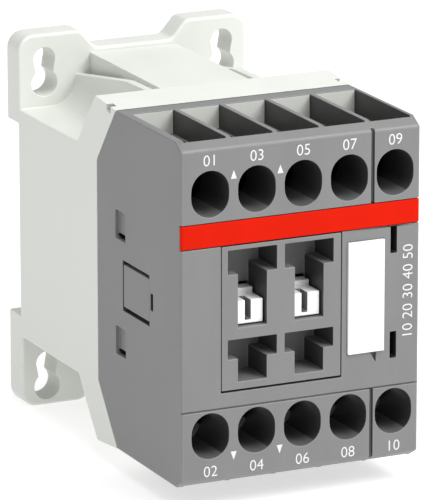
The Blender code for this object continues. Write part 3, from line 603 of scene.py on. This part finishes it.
def plated_metal(name, colour, dull=(0.22, 0.42), tarnish=0.82, scratch=(1.0, 1.0, 9.0)):
    """Plated metal: cloudy tarnish, and fine scratches along one direction."""
    material, tree, shader = new_finish(name, metallic=1.0)
    clouds = noise(tree, 300.0, 4.0)
    lines = noise(tree, 900.0, 4.0, scratch)
    tone = mix(tree, spread(tree, clouds, 0.0, 1.0), shade(colour, tarnish), colour)
    scratched = mix(tree, spread(tree, lines, 0.0, 0.35), tone, shade(colour, 0.7))
    feed(tree, shader, scratched, spread(tree, lines, *dull))
    relief(tree, shader, lines, 0.000008)
    return material


def striped_metal(name, colour, dark, scale, direction, metallic, dull, depth):
    """Stacked sheets or wound wire: fine stripes with a groove between each two, and blotchy varnish."""
    material, tree, shader = new_finish(name, metallic=metallic)
    stripes = bands(tree, scale, direction)
    blotches = noise(tree, 260.0, 4.0)
    tone = mix(tree, spread(tree, blotches, 0.0, 1.0), shade(colour, 0.75), colour)
    feed(tree, shader, mix(tree, stripes, dark, tone), spread(tree, blotches, *dull))
    relief(tree, shader, stripes, depth)
    return material


def printed_ink(name, colour):
    """Ink that lies on plastic, thinner in places."""
    material, tree, shader = new_finish(name)
    cover = noise(tree, 2600.0, 3.0)
    tone = mix(tree, spread(tree, cover, 0.0, 1.0), shade(colour, 0.86), colour)
    feed(tree, shader, tone, spread(tree, cover, 0.45, 0.65))
    relief(tree, shader, cover, 0.000004)
    return material


def studio_floor(name, colour, fibre):
    """Pale matt studio floor with a very faint paper grain."""
    material, tree, shader = new_finish(name)
    fibres = noise(tree, 700.0, 4.0)
    tone = mix(tree, spread(tree, fibres, 0.0, 1.0), colour, fibre)
    feed(tree, shader, tone, spread(tree, fibres, 0.75, 0.85))
    shader.inputs["Emission Color"].default_value = (1.0, 1.0, 1.0, 1.0)
    shader.inputs["Emission Strength"].default_value = 0.62
    return material


FINISHES = {}


def finish(name):
    """One of the contactor's finishes, made when it is first asked for."""
    colours = bpy.context.scene.contactor_finish
    recipes = {
        "dark_plastic": (moulded_plastic, colours.dark_grey, {}),
        "light_plastic": (moulded_plastic, colours.light_grey, {
            "gloss": (0.34, 0.46), "grain_depth": 0.000004, "mottle": 0.02, "edge": 1.06, "flow": 0.01}),
        "red_plastic": (moulded_plastic, colours.red, {
            "gloss": (0.26, 0.36), "grain": 0.0002, "grain_depth": 0.000003, "mottle": 0.05, "edge": 1.15,
            "flow": 0.02, "shine": 0.05}),
        "white_plastic": (moulded_plastic, colours.white, {
            "gloss": (0.3, 0.42), "grain_depth": 0.000003, "mottle": 0.02, "edge": 1.05, "flow": 0.01}),
        "black_plastic": (moulded_plastic, colours.black, {"edge": 1.9}),
        "black_rubber": (moulded_plastic, (0.02, 0.02, 0.02), {
            "gloss": (0.7, 0.85), "edge": 1.2, "grain": 0.0003}),
        "zinc_steel": (plated_metal, (0.66, 0.665, 0.66), {}),
        "plated_copper": (plated_metal, (0.74, 0.62, 0.45), {"scratch": (7.0, 1.0, 1.0)}),
        "spring_steel": (plated_metal, (0.5, 0.5, 0.5), {"dull": (0.2, 0.32)}),
        "laminations": (striped_metal, (0.42, 0.42, 0.43), {
            "dark": (0.06, 0.05, 0.05), "scale": 628.0, "direction": "X", "metallic": 1.0,
            "dull": (0.35, 0.55), "depth": 0.00004}),
        "winding_wire": (striped_metal, (0.5, 0.17, 0.05), {
            "dark": (0.07, 0.02, 0.01), "scale": 1256.0, "direction": "Y", "metallic": 0.6,
            "dull": (0.25, 0.4), "depth": 0.00009}),
        "ink": (printed_ink, colours.ink, {}),
        "floor": (studio_floor, (0.53, 0.53, 0.53), {"fibre": (0.56, 0.56, 0.56)}),
    }
    if name not in FINISHES:
        maker, colour, options = recipes[name]
        FINISHES[name] = maker(name, colour, **options)
    return FINISHES[name]


# ------------------------------------------------------------------ front of the case

def front_profile():
    """The front shell's outline seen from the side, as (Y, Z) points."""
    upper = [
        (FRONT_Y, FRONT_HALF_HEIGHT), (CHAMFER_Y, CASE_HALF_HEIGHT),
        (SHOULDER_Y, CASE_HALF_HEIGHT), (SEAM_Y, SEAM_HALF_HEIGHT),
    ]
    return upper + [(y, -z) for y, z in reversed(upper)]


def terminal_openings(x, sign, has_chamber):
    """The screw hole, wire pocket, well and inner ways of one terminal."""
    hole = prism(stadium(x, TERMINAL_Z * sign, *SCREW_HOLE_HALF), (FRONT_Y - 1, WELL_Y[0] + 0.4), "Y")
    pocket_z = mirrored((POCKET_FLOOR_Z, CASE_HALF_HEIGHT + 1), sign)
    well_z = mirrored((WELL_FLOOR_Z, POCKET_FLOOR_Z + 1), sign)
    # Each opening carries painted shade on its walls; the screw hole and pocket get a darker right wall.
    openings = [
        hollow(hole, *HOLE_DARK),
        hollow(brick(around(x, POCKET_HALF_WIDTH), POCKET_Y, pocket_z), *POCKET_DARK),
        hollow(brick(around(x, WELL_HALF_WIDTH), WELL_Y, well_z), INSIDE_DARK),
        hollow(brick(around(x, 3.15), STRIP_WAY_Y, mirrored((14.3, WELL_FLOOR_Z + 0.4), sign)), INSIDE_DARK),
    ]
    if has_chamber:
        chamber = brick(around(x, POCKET_HALF_WIDTH), CHAMBER_Y, mirrored((4.8, 15.3), sign))
        openings.append(hollow(chamber, INSIDE_DARK))
    return openings


def side_openings(sign):
    """The interlock window, its pry slot and two shallow recesses with a catch slot, on one side."""
    through = mirrored((HALF_WIDTH - WALL - 1, HALF_WIDTH + 1), sign)
    shallow = mirrored((HALF_WIDTH - 0.8, HALF_WIDTH + 1), sign)
    # The window, the pry slot and the catch slots carry painted shade on their walls.
    openings = [
        hollow(brick(through, COVER_WINDOW_Y, COVER_WINDOW_Z), 0.8),
        hollow(brick(through, PRY_SLOT_Y, PRY_SLOT_Z), INSIDE_DARK),
    ]
    for floor in SIDE_RECESS_FLOORS:
        openings.append(brick(shallow, SIDE_RECESS_Y, (floor, floor + 5.1)))
        openings.append(hollow(brick(through, SIDE_RECESS_Y, (floor, floor + 0.75)), SLOT_DARK))
    return openings


def face_openings():
    """The panel window, band groove, marker recess, grooves and slots of the front face."""
    outside = FRONT_Y - 1
    # The panel window, the grooves and the front slots carry painted shade on their walls.
    openings = [
        hollow(brick(PANEL_X, (outside, -58.2), (PANEL_Z[0] - 0.2, PANEL_Z[1])), 0.6),
        brick(around(0.0, HALF_WIDTH + 1), (outside, FRONT_Y + 0.9), BAND_Z),
        brick(around(0.0, HALF_WIDTH + 1), (outside, FRONT_Y + 0.4), GROOVE_Z),
        hollow(brick(GROOVE_X, (outside, FRONT_Y + 0.7), (16.0, 32.0)), GROOVE_DARK),
        hollow(brick(GROOVE_X, (outside, FRONT_Y + 0.7), (-32.0, -16.65)), GROOVE_DARK),
        brick(MARKER_RECESS_X, (outside, FRONT_Y + 1.2), MARKER_RECESS_Z),
        prism([(13.0, -9.9), (14.4, -9.9), (14.3, -12.0)], (outside, FRONT_Y + 1.0), "Y"),
    ]
    for sign in (1, -1):
        slot = brick(FRONT_SLOT_X, (outside, -66.0), mirrored(FRONT_SLOT_Z, sign))
        openings.append(hollow(slot, SLOT_DARK))
        openings.append(brick((11.0, 12.4), (FRONT_Y + 0.5, -66.0), mirrored((6.5, 8.5), sign)))
    return openings


def inner_openings():
    """The hollow inside: room for the carrier, the magnet and the coil's leads."""
    inner_x = (-HALF_WIDTH + WALL, HALF_WIDTH - WALL)
    openings = [
        brick((inner_x[0], 13.2), (-60.0, -39.3), (-5.2, 5.2)),
        brick(inner_x, (-42.2, -39.0), (-4.2, 4.2)),
        brick(inner_x, (-39.8, SEAM_Y + 2), (-17.8, 17.8)),
        brick((14.2, inner_x[1]), (-66.9, -39.1), (-11.0, 11.0)),
        brick((8.7, 12.6), (-66.9, -58.5), (-10.8, 10.8)),
        brick((inner_x[0], -16.1), (-66.9, -58.4), (-13.0, 13.0)),
    ]
    for sign in (1, -1):
        openings.append(brick((COLUMNS[4] - 3.2, inner_x[1]), (-51.5, -38.9), mirrored((10.5, 15.3), sign)))
    # Every inner opening carries painted shade on its walls.
    return [hollow(opening, INSIDE_DARK) for opening in openings]


def t_outline(x, levels):
    """A T opening: a wide bar over a narrower stem."""
    top, step, foot = levels
    bar = T_BAR_HALF_WIDTH
    stem = T_STEM_HALF_WIDTH
    return [
        (x - stem, foot), (x + stem, foot), (x + stem, step), (x + bar, step),
        (x + bar, top), (x - bar, top), (x - bar, step), (x - stem, step),
    ]


class CONTACTOR_OT_front_shell(Operator):
    """Model the dark grey front shell with its terminal openings."""

    bl_idname = "contactor.front_shell"
    bl_label = "Front shell"

    def execute(self, context):
        sizes = context.scene.contactor_shape
        shell = prism(front_profile(), (-HALF_WIDTH, HALF_WIDTH), "X")
        corner = sizes.corner_radius / METRES_PER_MM
        soften(shell, corner, 4, lambda point: point.y < SHOULDER_Y - 0.9, polish=0.5)
        openings = face_openings() + inner_openings()
        for sign, _ in SIDES:
            openings += side_openings(sign)
            for index, x in enumerate(COLUMNS):
                openings += terminal_openings(x, sign, index < len(POLES))
        shell = carved(shell, openings)
        soften(shell, sizes.edge_radius / METRES_PER_MM, 2)
        add_piece("front_shell", shell, "case", "dark_plastic", ["front_housing"])
        return {"FINISHED"}


class CONTACTOR_OT_attachment_panel(Operator):
    """Model the block in the front window, with the T openings that attachments hook into."""

    bl_idname = "contactor.attachment_panel"
    bl_label = "Attachment panel"

    def execute(self, context):
        sizes = context.scene.contactor_shape
        panel = brick(*(span_mm("interface_panel", axis) for axis in range(3)))
        openings = []
        for x in T_COLUMNS:
            for levels in (T_UPPER, T_LOWER):
                opening = prism(t_outline(x, levels), (FRONT_Y - 1, PANEL_REAR_Y - 1.5), "Y")
                # The T openings carry painted shade, darker on the right wall; the actuator holes carry it
                # too.
                openings.append(hollow(opening, *T_DARK))
            hole_y = (PANEL_REAR_Y - 1.9, PANEL_REAR_Y + 1)
            hole = brick(around(x, T_STEM_HALF_WIDTH - 0.05), hole_y, ACTUATOR_HOLE_Z)
            openings.append(hollow(hole, INSIDE_DARK))
        panel = carved(panel, openings)
        soften(panel, sizes.edge_radius / METRES_PER_MM, 2)
        add_piece("attachment_panel", panel, "case", "dark_plastic", ["interface_panel"])
        return {"FINISHED"}


class CONTACTOR_OT_front_trim(Operator):
    """Model the red band, the white marker plate and the two interlock covers."""

    bl_idname = "contactor.front_trim"
    bl_label = "Front trim"

    def execute(self, context):
        corner = context.scene.contactor_shape.corner_radius / METRES_PER_MM
        x_span, y_span, z_span = (span_mm("accent_band", axis) for axis in range(3))
        outline = [(x_span[0], y_span[1])]
        outline += arc((x_span[0] + corner, y_span[0] + corner), corner, 180, 270, 5)[1:]
        outline += arc((x_span[1] - corner, y_span[0] + corner), corner, 270, 360, 5)[:-1]
        outline.append((x_span[1], y_span[1]))
        band = prism(outline, z_span, "Z")
        soften(band, TRIM_EDGE, 2, lambda point: point.y < y_span[1] - 0.1)
        add_piece("red_band", band, "case", "band_plastic", ["accent_band"], "red_plastic")

        x_span = (MARKER_RECESS_X[0] + 0.1, MARKER_RECESS_X[1] - 0.1)
        z_span = span_mm("marker_plate", 2)
        plate_front, plate_rear = span_mm("marker_plate", 1)
        plate = prism(rounded_box_outline(x_span, z_span, 0.15), (plate_front, FRONT_Y + 0.9), "Y")
        pegs = [
            brick((11.3, 12.1), (FRONT_Y + 0.6, plate_rear), mirrored(MARKER_PEG_Z, sign))
            for sign in (1, -1)
        ]
        plate = soften(joined(plate, pegs), TRIM_EDGE, 2)
        add_piece("white_marker", plate, "marker", "white_plastic", ["marker_plate"])

        for sign, side in ((-1, "left"), (1, "right")):
            node = f"interlock_cover_{side}"
            cover = prism(
                rounded_box_outline(span_mm(node, 1), span_mm(node, 2), 0.3), span_mm(node, 0), "X")
            soften(cover, COVER_EDGE, 2)
            add_piece(f"side_cover_{side}", cover, "case", "dark_plastic", [node])
        return {"FINISHED"}


# ------------------------------------------------------------------ rear of the case

def collar_profile():
    """The rear shell's outline seen from the side, with the flare that meets the front shell."""
    upper = [
        (SHOULDER_Y + 0.4, CASE_HALF_HEIGHT), (-33.9, 31.2), (-28.8, 25.0),
        (-26.0, BODY_HALF_HEIGHT), (0.0, BODY_HALF_HEIGHT),
    ]
    lower = [(y, -z) for y, z in reversed(upper)]
    return upper + lower + [(SEAM_Y + 0.4, -SEAM_HALF_HEIGHT), (SEAM_Y + 0.4, SEAM_HALF_HEIGHT)]


def foot_outline(edge, steps=6):
    """The upper half of the mounting plate: two feet with rounded corners and a shoulder between them."""
    corner = 3.0
    right = [(HALF_WIDTH, edge)]
    right += arc((HALF_WIDTH - corner, FOOT_HALF_HEIGHT - corner), corner, 0, 90, steps)
    right += [(11.2, FOOT_HALF_HEIGHT), (10.2, FOOT_HALF_HEIGHT - 0.3), (8.2, 32.0), (7.2, 31.2)]
    return right + [(-x, z) for x, z in reversed(right)]


def keyhole(x, wide_z):
    """A keyhole outline: a wide round end below and a narrower slot above it."""
    wide_radius, narrow_radius, rise = 2.5, 2.1, 4.4
    meet = math.degrees(math.acos(narrow_radius * 0.8 / wide_radius))
    wide = arc((x, wide_z), wide_radius, 180 - meet, 360 + meet, 24)
    narrow = arc((x, wide_z + rise), narrow_radius, -20, 200, 18)
    return wide + narrow


def rear_additions():
    """The feet, the spine, its ribs and the fixed hooks."""
    additions = []
    rear_y = PLATE_Y[0] + 0.9
    rib = [(-32.0, 19.4), (-32.0, 30.2), (-22.5, 30.0), (rear_y, 26.5), (rear_y, 19.4)]
    for sign, edge in ((1, 18.6), (-1, 17.2)):
        plate = prism(flipped(foot_outline(edge), sign), PLATE_Y, "Y")
        additions.append(soften(plate, PLATE_EDGE, 3, lambda point: abs(point.z) > 19.5))
        additions.append(brick((-8.5, 8.5), (-32.0, PLATE_Y[0] + 1), mirrored((19.5, 30.3), sign)))
        fillet = [(11.2, 20.9), (11.2, 26.2)] + arc((16.3, 26.2), 5.0, 180, 270, 8) + [(16.3, 20.9)]
        filling = [(-31.8, 20.0), (-31.8, 29.5), (-22.5, 29.3), (-14.0, 27.9), (-14.0, 20.0)]
        for side in (-1, 1):
            additions.append(prism(flipped(rib, sign), around(RIB_X * side, 0.75), "X"))
            turned = [(x * side, z * sign) for x, z in fillet]
            additions.append(prism(turned, (-29.5, PLATE_Y[0] + 0.5), "Y"))
            additions.append(prism(flipped(filling, sign), mirrored((8.3, 10.0), side), "X"))
    for x in (-13.0, 13.0):
        additions.append(brick(around(x, 4.5), (1.6, PLATE_Y[1] - 0.3), (17.3, 19.6)))
    return additions


def rear_openings():
    """The hollow inside, the keyholes, the collar notches and the latch's slot."""
    openings = [
        brick((-HALF_WIDTH + WALL, HALF_WIDTH - WALL), (SEAM_Y - 1, -1.8), (-18.6, 18.6)),
        brick((-5.8, 5.8), (1.1, 4.3), (-36.0, -16.2)),
    ]
    for sign, wide_z in KEYHOLES:
        openings.append(brick((-7.2, 7.2), (-28.0, -1.7), mirrored((17.5, 28.8), sign)))
        for x in (-KEYHOLE_X, KEYHOLE_X):
            openings.append(prism(keyhole(x, wide_z), (PLATE_Y[0] - 2, PLATE_Y[1] + 2), "Y"))
    for sign in (1, -1):
        # The collar notches carry painted shade, so they show as dark dots.
        openings.append(hollow(brick(mirrored(COLLAR_NOTCH_X, sign), (-40.6, -38.9), (29.4, 32.0)), 0.5))
    return openings


class CONTACTOR_OT_rear_shell(Operator):
    """Model the light grey rear shell with its feet and the rail channel."""

    bl_idname = "contactor.rear_shell"
    bl_label = "Rear shell"

    def execute(self, context):
        sizes = context.scene.contactor_shape
        shell = prism(collar_profile(), (-HALF_WIDTH, HALF_WIDTH), "X")
        soften(shell, BODY_EDGE, 3, lambda point: point.y > -34.0)
        shell = joined(shell, rear_additions())
        shell = carved(shell, rear_openings())
        shell = joined(shell, [brick((-1.7, 1.7), (0.6, 4.7), (-27.6, -26.0))])
        # The edges of the narrow groove between spine and rib are too close together to round.
        soften(
            shell, sizes.edge_radius / METRES_PER_MM, 2,
            lambda point: not (8.4 < abs(point.x) < 9.9 and 21.5 < abs(point.z) < 30.0))
        add_piece("rear_shell", shell, "case", "light_plastic", ["rear_housing"])

        # Painted light: thin light grey plates on the back walls of the wire pockets make these lit walls
        # lighter than the dark front shell.
        wall_y = (POCKET_Y[1] - 0.15, POCKET_Y[1] + 0.1)
        wall_z = (POCKET_FLOOR_Z + 0.1, CASE_HALF_HEIGHT - 0.2)
        walls = [
            brick(around(x, POCKET_HALF_WIDTH - 0.1), wall_y, mirrored(wall_z, sign))
            for sign, _ in SIDES for x in COLUMNS
        ]
        add_piece("pocket_wall_painted_light", merged(walls), "case", "light_plastic")
        return {"FINISHED"}


class CONTACTOR_OT_rail_latch(Operator):
    """Model the black latch that grips the rail's lower edge."""

    bl_idname = "contactor.rail_latch"
    bl_label = "Rail latch"

    def execute(self, context):
        outline = [
            (-5.5, -34.0), (-5.1, -34.4), (5.1, -34.4), (5.5, -34.0),
            (5.5, -16.3), (4.9, -15.7), (-4.9, -15.7), (-5.5, -16.3),
        ]
        latch = prism(outline, (1.4, 4.0), "Y")
        openings = [brick((-2.2, 2.2), (0, 5), (-28, -19)), brick((-2, 2), (0, 5), (-33.2, -31.9))]
        for groove in range(LATCH_GROOVES):
            openings.append(brick((-4.4, 4.4), (3.75, 5.0), around(-31.2 + 0.8 * groove, 0.2)))
        latch = soften(carved(latch, openings), LATCH_EDGE, 2)
        add_piece("latch_slider", latch, "latch", "black_plastic", ["rail_latch"])
        return {"FINISHED"}


# ------------------------------------------------------------------ terminals, carrier and the rest

def screw_shape(pitch):
    """A terminal screw at its hole's origin: a rimmed head with a cross recess, on a threaded shank."""
    head_front, end = span_mm("terminal_screw_top_1", 1)
    head_rear = -52.5
    crest, root = 1.7, 1.4
    profile = [
        (head_front, 0.0), (head_front, 2.45), (head_front + 0.12, 2.66), (head_front + 0.4, 2.8),
        (head_rear - 0.25, 2.8), (head_rear, 2.6), (head_rear, crest),
    ]
    along = head_rear + pitch / 2
    while along < end - pitch:
        profile += [(along, crest), (along + pitch / 2, root)]
        along += pitch
    profile += [(end - 0.3, crest), (end, 1.2), (end, 0.0)]
    screw = lathe(profile, (0, 0, 0), "Y", 28)
    recess = (head_front - 1, head_front + 1.2)
    cross = joined(brick((-1.75, 1.75), recess, (-0.4, 0.4)), [brick((-0.4, 0.4), recess, (-1.75, 1.75))])
    return carved(screw, [cross])


def clamp_shape():
    """A terminal washer at the origin of its hole: rounded corners and two grip grooves."""
    front, rear = span_mm("terminal_clamp_top_1", 1)
    washer = prism(rounded_box_outline((-3.1, 3.1), (-3.6, 3.6), 0.5), (front, rear), "Y")
    openings = [rod((0, middle((front, rear)), 0), 2.0, 4.0, "Y")]
    for z in (-3.0, 3.0):
        openings.append(brick((-4, 4), (rear - 0.25, rear + 1), around(z, 0.2)))
    return soften(carved(washer, openings), WASHER_EDGE, 2)


class CONTACTOR_OT_terminals(Operator):
    """Model the ten terminal screws and their washers."""

    bl_idname = "contactor.terminals"
    bl_label = "Terminal screws and washers"

    def execute(self, context):
        pitch = context.scene.contactor_shape.thread_pitch / METRES_PER_MM
        screw = screw_shape(pitch)
        washer = clamp_shape()
        for sign, side in SIDES:
            for number, x in enumerate(COLUMNS, 1):
                label = f"{side}_{number}"
                place = (x, 0, TERMINAL_Z * sign)
                add_piece(
                    f"screw_{label}", moved(screw.copy(), place), f"screw_{label}", "zinc_steel",
                    [f"terminal_screw_{label}"])
                add_piece(
                    f"washer_{label}", moved(washer.copy(), place), f"clamp_{label}", "zinc_steel",
                    [f"terminal_clamp_{label}"])
        screw.free()
        washer.free()
        return {"FINISHED"}


class CONTACTOR_OT_contact_carrier(Operator):
    """Model the white carrier with its two hooked actuators."""

    bl_idname = "contactor.contact_carrier"
    bl_label = "Contact carrier"

    def execute(self, context):
        front_y, rear_y, half_height = -59.4, -45.4, 4.6
        actuator_front = span_mm("contact_carrier", 1)[0]
        carrier = brick(span_mm("contact_carrier", 0), (front_y, rear_y), (-half_height, half_height))
        additions = [
            brick((-9.6, 9.6), (rear_y - 0.8, -39.2), (-3.3, 3.3)),
            brick((-18.6, 18.6), (-41.2, -39.4), (-3.0, 3.0)),
        ]
        openings = [rod((0, middle(span_mm("armature_pin", 1)), 0), 1.8, 24, "X")]
        for sign in (-1, 1):
            additions.append(brick(mirrored((6.8, 9.4), sign), (-40.2, -33.7), (-3.4, 3.4)))
        for x in T_COLUMNS:
            span = around(x, 2.4)
            additions.append(brick(span, (actuator_front, front_y + 0.8), (-2.4, 1.7)))
            additions.append(brick(span, (-64.5, front_y + 0.7), (-2.0, 2.7)))
            slot = brick((x - 0.95, x + 0.15), (actuator_front - 1, -65.4), (-1.8, 2.0))
            # The hook slots carry painted shade on their walls.
            openings.append(hollow(slot, 0.8))
        for x in POLES:
            openings.append(brick(around(x, 3.1), (-57.4, -47.0), (-half_height - 1, half_height + 1)))
        carrier = carved(joined(carrier, additions), openings)
        soften(carrier, TRIM_EDGE, 2)
        add_piece("carrier_block", carrier, "carrier", "white_plastic", ["contact_carrier"])
        return {"FINISHED"}


def add_spring(name, start, end, radius, wire_radius, turns, body):
    """A coil spring that stands on its start and reaches its end, with a mesh of its own."""
    shape = helix(start, end, radius, wire_radius, turns)
    spring = add_piece(f"{name}_coil", shape, body, "spring_steel", [name])
    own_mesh(spring)


class CONTACTOR_OT_springs(Operator):
    """Model the contact, return and latch springs."""

    bl_idname = "contactor.springs"
    bl_label = "Coil springs"

    def execute(self, context):
        for number, x in enumerate(POLES, 1):
            add_spring(
                f"contact_spring_{number}", (x, -57.1, 0), (x, -48.4, 0), 1.9, 0.28, 6,
                "carrier")
        for x, side in ((-15.5, "left"), (15.5, "right")):
            add_spring(
                f"return_spring_{side}", (x, -28.8, 0), (x, -39.1, 0), 2.1, 0.3, 6,
                "case")
        add_spring(
            "rail_latch_spring", (0, 2.7, -25.7), (0, 2.7, -19.3), 1.0, 0.2, 7,
            "case")
        return {"FINISHED"}


FINISH_OF_NODES = {
    "plated_copper": ("fixed_contact", "coil_terminal", "moving_bridge", "shading_ring"),
    "spring_steel": ("contact_spring", "return_spring", "rail_latch_spring"),
    "zinc_steel": ("armature_pin", "terminal_screw", "terminal_clamp"),
    "laminations": ("armature", "fixed_core"),
    "black_plastic": ("coil_bobbin", "rail_latch"),
    "winding_wire": ("coil_winding",),
    "black_rubber": ("core_cushion",),
    "dark_plastic": ("front_housing", "interface_panel", "interlock_cover"),
    "light_plastic": ("rear_housing",),
    "red_plastic": ("accent_band",),
    "white_plastic": ("marker_plate", "contact_carrier"),
}


class CONTACTOR_OT_inner_finishes(Operator):
    """Give every CAD node the finish of its kind."""

    bl_idname = "contactor.inner_finishes"
    bl_label = "Inner finishes"

    def execute(self, context):
        finishes = {kind: name for name, kinds in FINISH_OF_NODES.items() for kind in kinds}
        for name, node in frame["nodes"].items():
            kind = max((kind for kind in finishes if name.startswith(kind)), key=len)
            node.data.materials.clear()
            node.data.materials.append(finish(finishes[kind]))
        return {"FINISHED"}


def text_shape(text, height, thickness):
    """Flat characters in the X-Z plane, centred on the origin, with their thickness towards the front."""
    curve = bpy.data.curves.new(text, "FONT")
    curve.body = text
    curve.align_x = "CENTER"
    curve.align_y = "CENTER"
    curve.size = height * 1.38
    curve.extrude = thickness / 2
    curve.offset = -0.02
    curve.resolution_u = 4
    source = bpy.data.objects.new(text, curve)
    bpy.context.scene.collection.objects.link(source)
    bpy.context.view_layer.update()
    evaluated = source.evaluated_get(bpy.context.evaluated_depsgraph_get())
    shape = bmesh.new()
    shape.from_mesh(evaluated.to_mesh())
    evaluated.to_mesh_clear()
    bpy.data.objects.remove(source)
    bmesh.ops.remove_doubles(shape, verts=shape.verts, dist=MERGE_DISTANCE)
    upright = Matrix.Rotation(math.radians(90), 3, "X")
    bmesh.ops.rotate(shape, cent=(0, 0, 0), matrix=upright, verts=shape.verts)
    bmesh.ops.recalc_face_normals(shape, faces=shape.faces)
    return shape


class CONTACTOR_OT_marks(Operator):
    """Print the terminal numbers, the small arrows and the column of numbers at the right."""

    bl_idname = "contactor.marks"
    bl_label = "Printed marks"

    top_numbers: StringProperty(
        name="Top numbers", description="Numbers above the top terminals", default="01 03 05 07 09")
    bottom_numbers: StringProperty(
        name="Bottom numbers", description="Numbers below the bottom terminals", default="02 04 06 08 10")
    side_numbers: StringProperty(
        name="Side numbers", description="Numbers that read upwards at the right", default="10 20 30 40 50")

    def execute(self, context):
        sizes = context.scene.contactor_shape
        height = sizes.numeral_height / METRES_PER_MM
        thickness = sizes.ink_thickness / METRES_PER_MM
        y = FRONT_Y - thickness / 2 + 0.005
        rows = ((self.top_numbers, 27.0, 24.2, 1), (self.bottom_numbers, -27.6, -25.2, -1))
        shapes = []
        for numbers, z, arrow_z, sign in rows:
            for number, x in zip(numbers.split(), COLUMNS):
                shapes.append(moved(text_shape(number, height, thickness), (x, y, z)))
            for x in ARROW_X:
                foot = arrow_z - 0.7 * sign
                arrow = [(x - 0.55, foot), (x + 0.55, foot), (x, arrow_z + 0.8 * sign)]
                shapes.append(prism(arrow, (y - thickness / 2, y + thickness / 2), "Y"))
        add_piece("terminal_numbers", merged(shapes), "case", "white_plastic", look="ink")

        column = text_shape(self.side_numbers, height, thickness)
        bmesh.ops.rotate(
            column, cent=(0, 0, 0), matrix=Matrix.Rotation(math.radians(-90), 3, "Y"), verts=column.verts)
        add_piece("side_numbers", moved(column, (20.4, y, -0.1)), "case", "white_plastic", look="ink")
        return {"FINISHED"}


# ------------------------------------------------------------------ stage

def add_light(name, place, aim, size, power):
    """A square soft light that faces a point."""
    data = bpy.data.lights.new(name, "AREA")
    data.shape = "SQUARE"
    data.size = size
    data.energy = power
    light = bpy.data.objects.new(name, data)
    light.location = place
    light.rotation_euler = (Vector(aim) - Vector(place)).to_track_quat("-Z", "Y").to_euler()
    bpy.context.scene.collection.objects.link(light)


class CONTACTOR_OT_stage(Operator):
    """Set up the pale floor, the soft lights and the camera."""

    bl_idname = "contactor.stage"
    bl_label = "Studio stage"

    def execute(self, context):
        scene = context.scene
        settings = scene.contactor_stage
        floor_shape = bmesh.new()
        bmesh.ops.create_grid(floor_shape, x_segments=2, y_segments=2, size=3.0)
        floor_mesh = bpy.data.meshes.new("floor")
        bmesh.ops.translate(floor_shape, vec=(0, 0, CAD_BOX[0][2]), verts=floor_shape.verts)
        floor_shape.to_mesh(floor_mesh)
        floor_shape.free()
        floor_mesh.materials.append(finish("floor"))
        floor = bpy.data.objects.new("floor", floor_mesh)
        scene.collection.objects.link(floor)

        world = bpy.data.worlds.new("soft sky")
        world.use_nodes = True
        sky = world.node_tree.nodes["Background"]
        sky.inputs["Color"].default_value = (1.0, 1.0, 1.0, 1.0)
        sky.inputs["Strength"].default_value = settings.sky_strength
        scene.world = world
        scene.view_settings.view_transform = "Standard"

        aim = Vector((-0.004137, -0.046452, 0.004364))
        add_light("key", (0.24, -0.38, 0.4), aim, 0.3, settings.key_power)
        add_light("top", (-0.02, -0.2, 0.6), aim, 0.4, settings.key_power * 0.7)

        data = bpy.data.cameras.new("camera")
        data.lens = settings.lens
        data.sensor_width = 36.0
        camera = bpy.data.objects.new("camera", data)
        flat = math.cos(settings.elevation)
        back = Vector((
            math.sin(settings.azimuth) * flat, -math.cos(settings.azimuth) * flat,
            math.sin(settings.elevation)))
        camera.location = aim + back * settings.distance
        camera.rotation_euler = (-back).to_track_quat("-Z", "Y").to_euler()
        scene.collection.objects.link(camera)
        scene.camera = camera
        return {"FINISHED"}


# ------------------------------------------------------------------ panel and registration

STEPS = (
    CONTACTOR_OT_inner_finishes, CONTACTOR_OT_front_shell, CONTACTOR_OT_attachment_panel,
    CONTACTOR_OT_front_trim, CONTACTOR_OT_rear_shell, CONTACTOR_OT_rail_latch, CONTACTOR_OT_terminals,
    CONTACTOR_OT_contact_carrier, CONTACTOR_OT_springs, CONTACTOR_OT_marks, CONTACTOR_OT_stage,
)


class CONTACTOR_PT_pieces(Panel):
    """Lists the contactor's pieces in the order in which they are made."""

    bl_idname = "CONTACTOR_PT_pieces"
    bl_label = "DIN rail contactor"
    bl_space_type = "VIEW_3D"
    bl_region_type = "UI"
    bl_category = "Contactor"

    def draw(self, context):
        for step in STEPS:
            self.layout.operator(step.bl_idname)


SETTINGS = {
    "contactor_shape": ContactorShape,
    "contactor_finish": ContactorFinish,
    "contactor_stage": ContactorStage,
}


def register():
    """Add the settings, the operators and the panel."""
    for name, group in SETTINGS.items():
        bpy.utils.register_class(group)
        setattr(bpy.types.Scene, name, PointerProperty(type=group))
    for item in (*STEPS, CONTACTOR_PT_pieces):
        bpy.utils.register_class(item)


def unregister():
    """Remove the panel, the operators and the settings."""
    for item in (CONTACTOR_PT_pieces, *reversed(STEPS)):
        bpy.utils.unregister_class(item)
    for name, group in SETTINGS.items():
        delattr(bpy.types.Scene, name)
        bpy.utils.unregister_class(group)


def main():
    """Make every piece and the stage."""
    register()
    for step in STEPS:
        family, name = step.bl_idname.split(".")
        getattr(getattr(bpy.ops, family), name)()


if __name__ == "__main__":
    main()
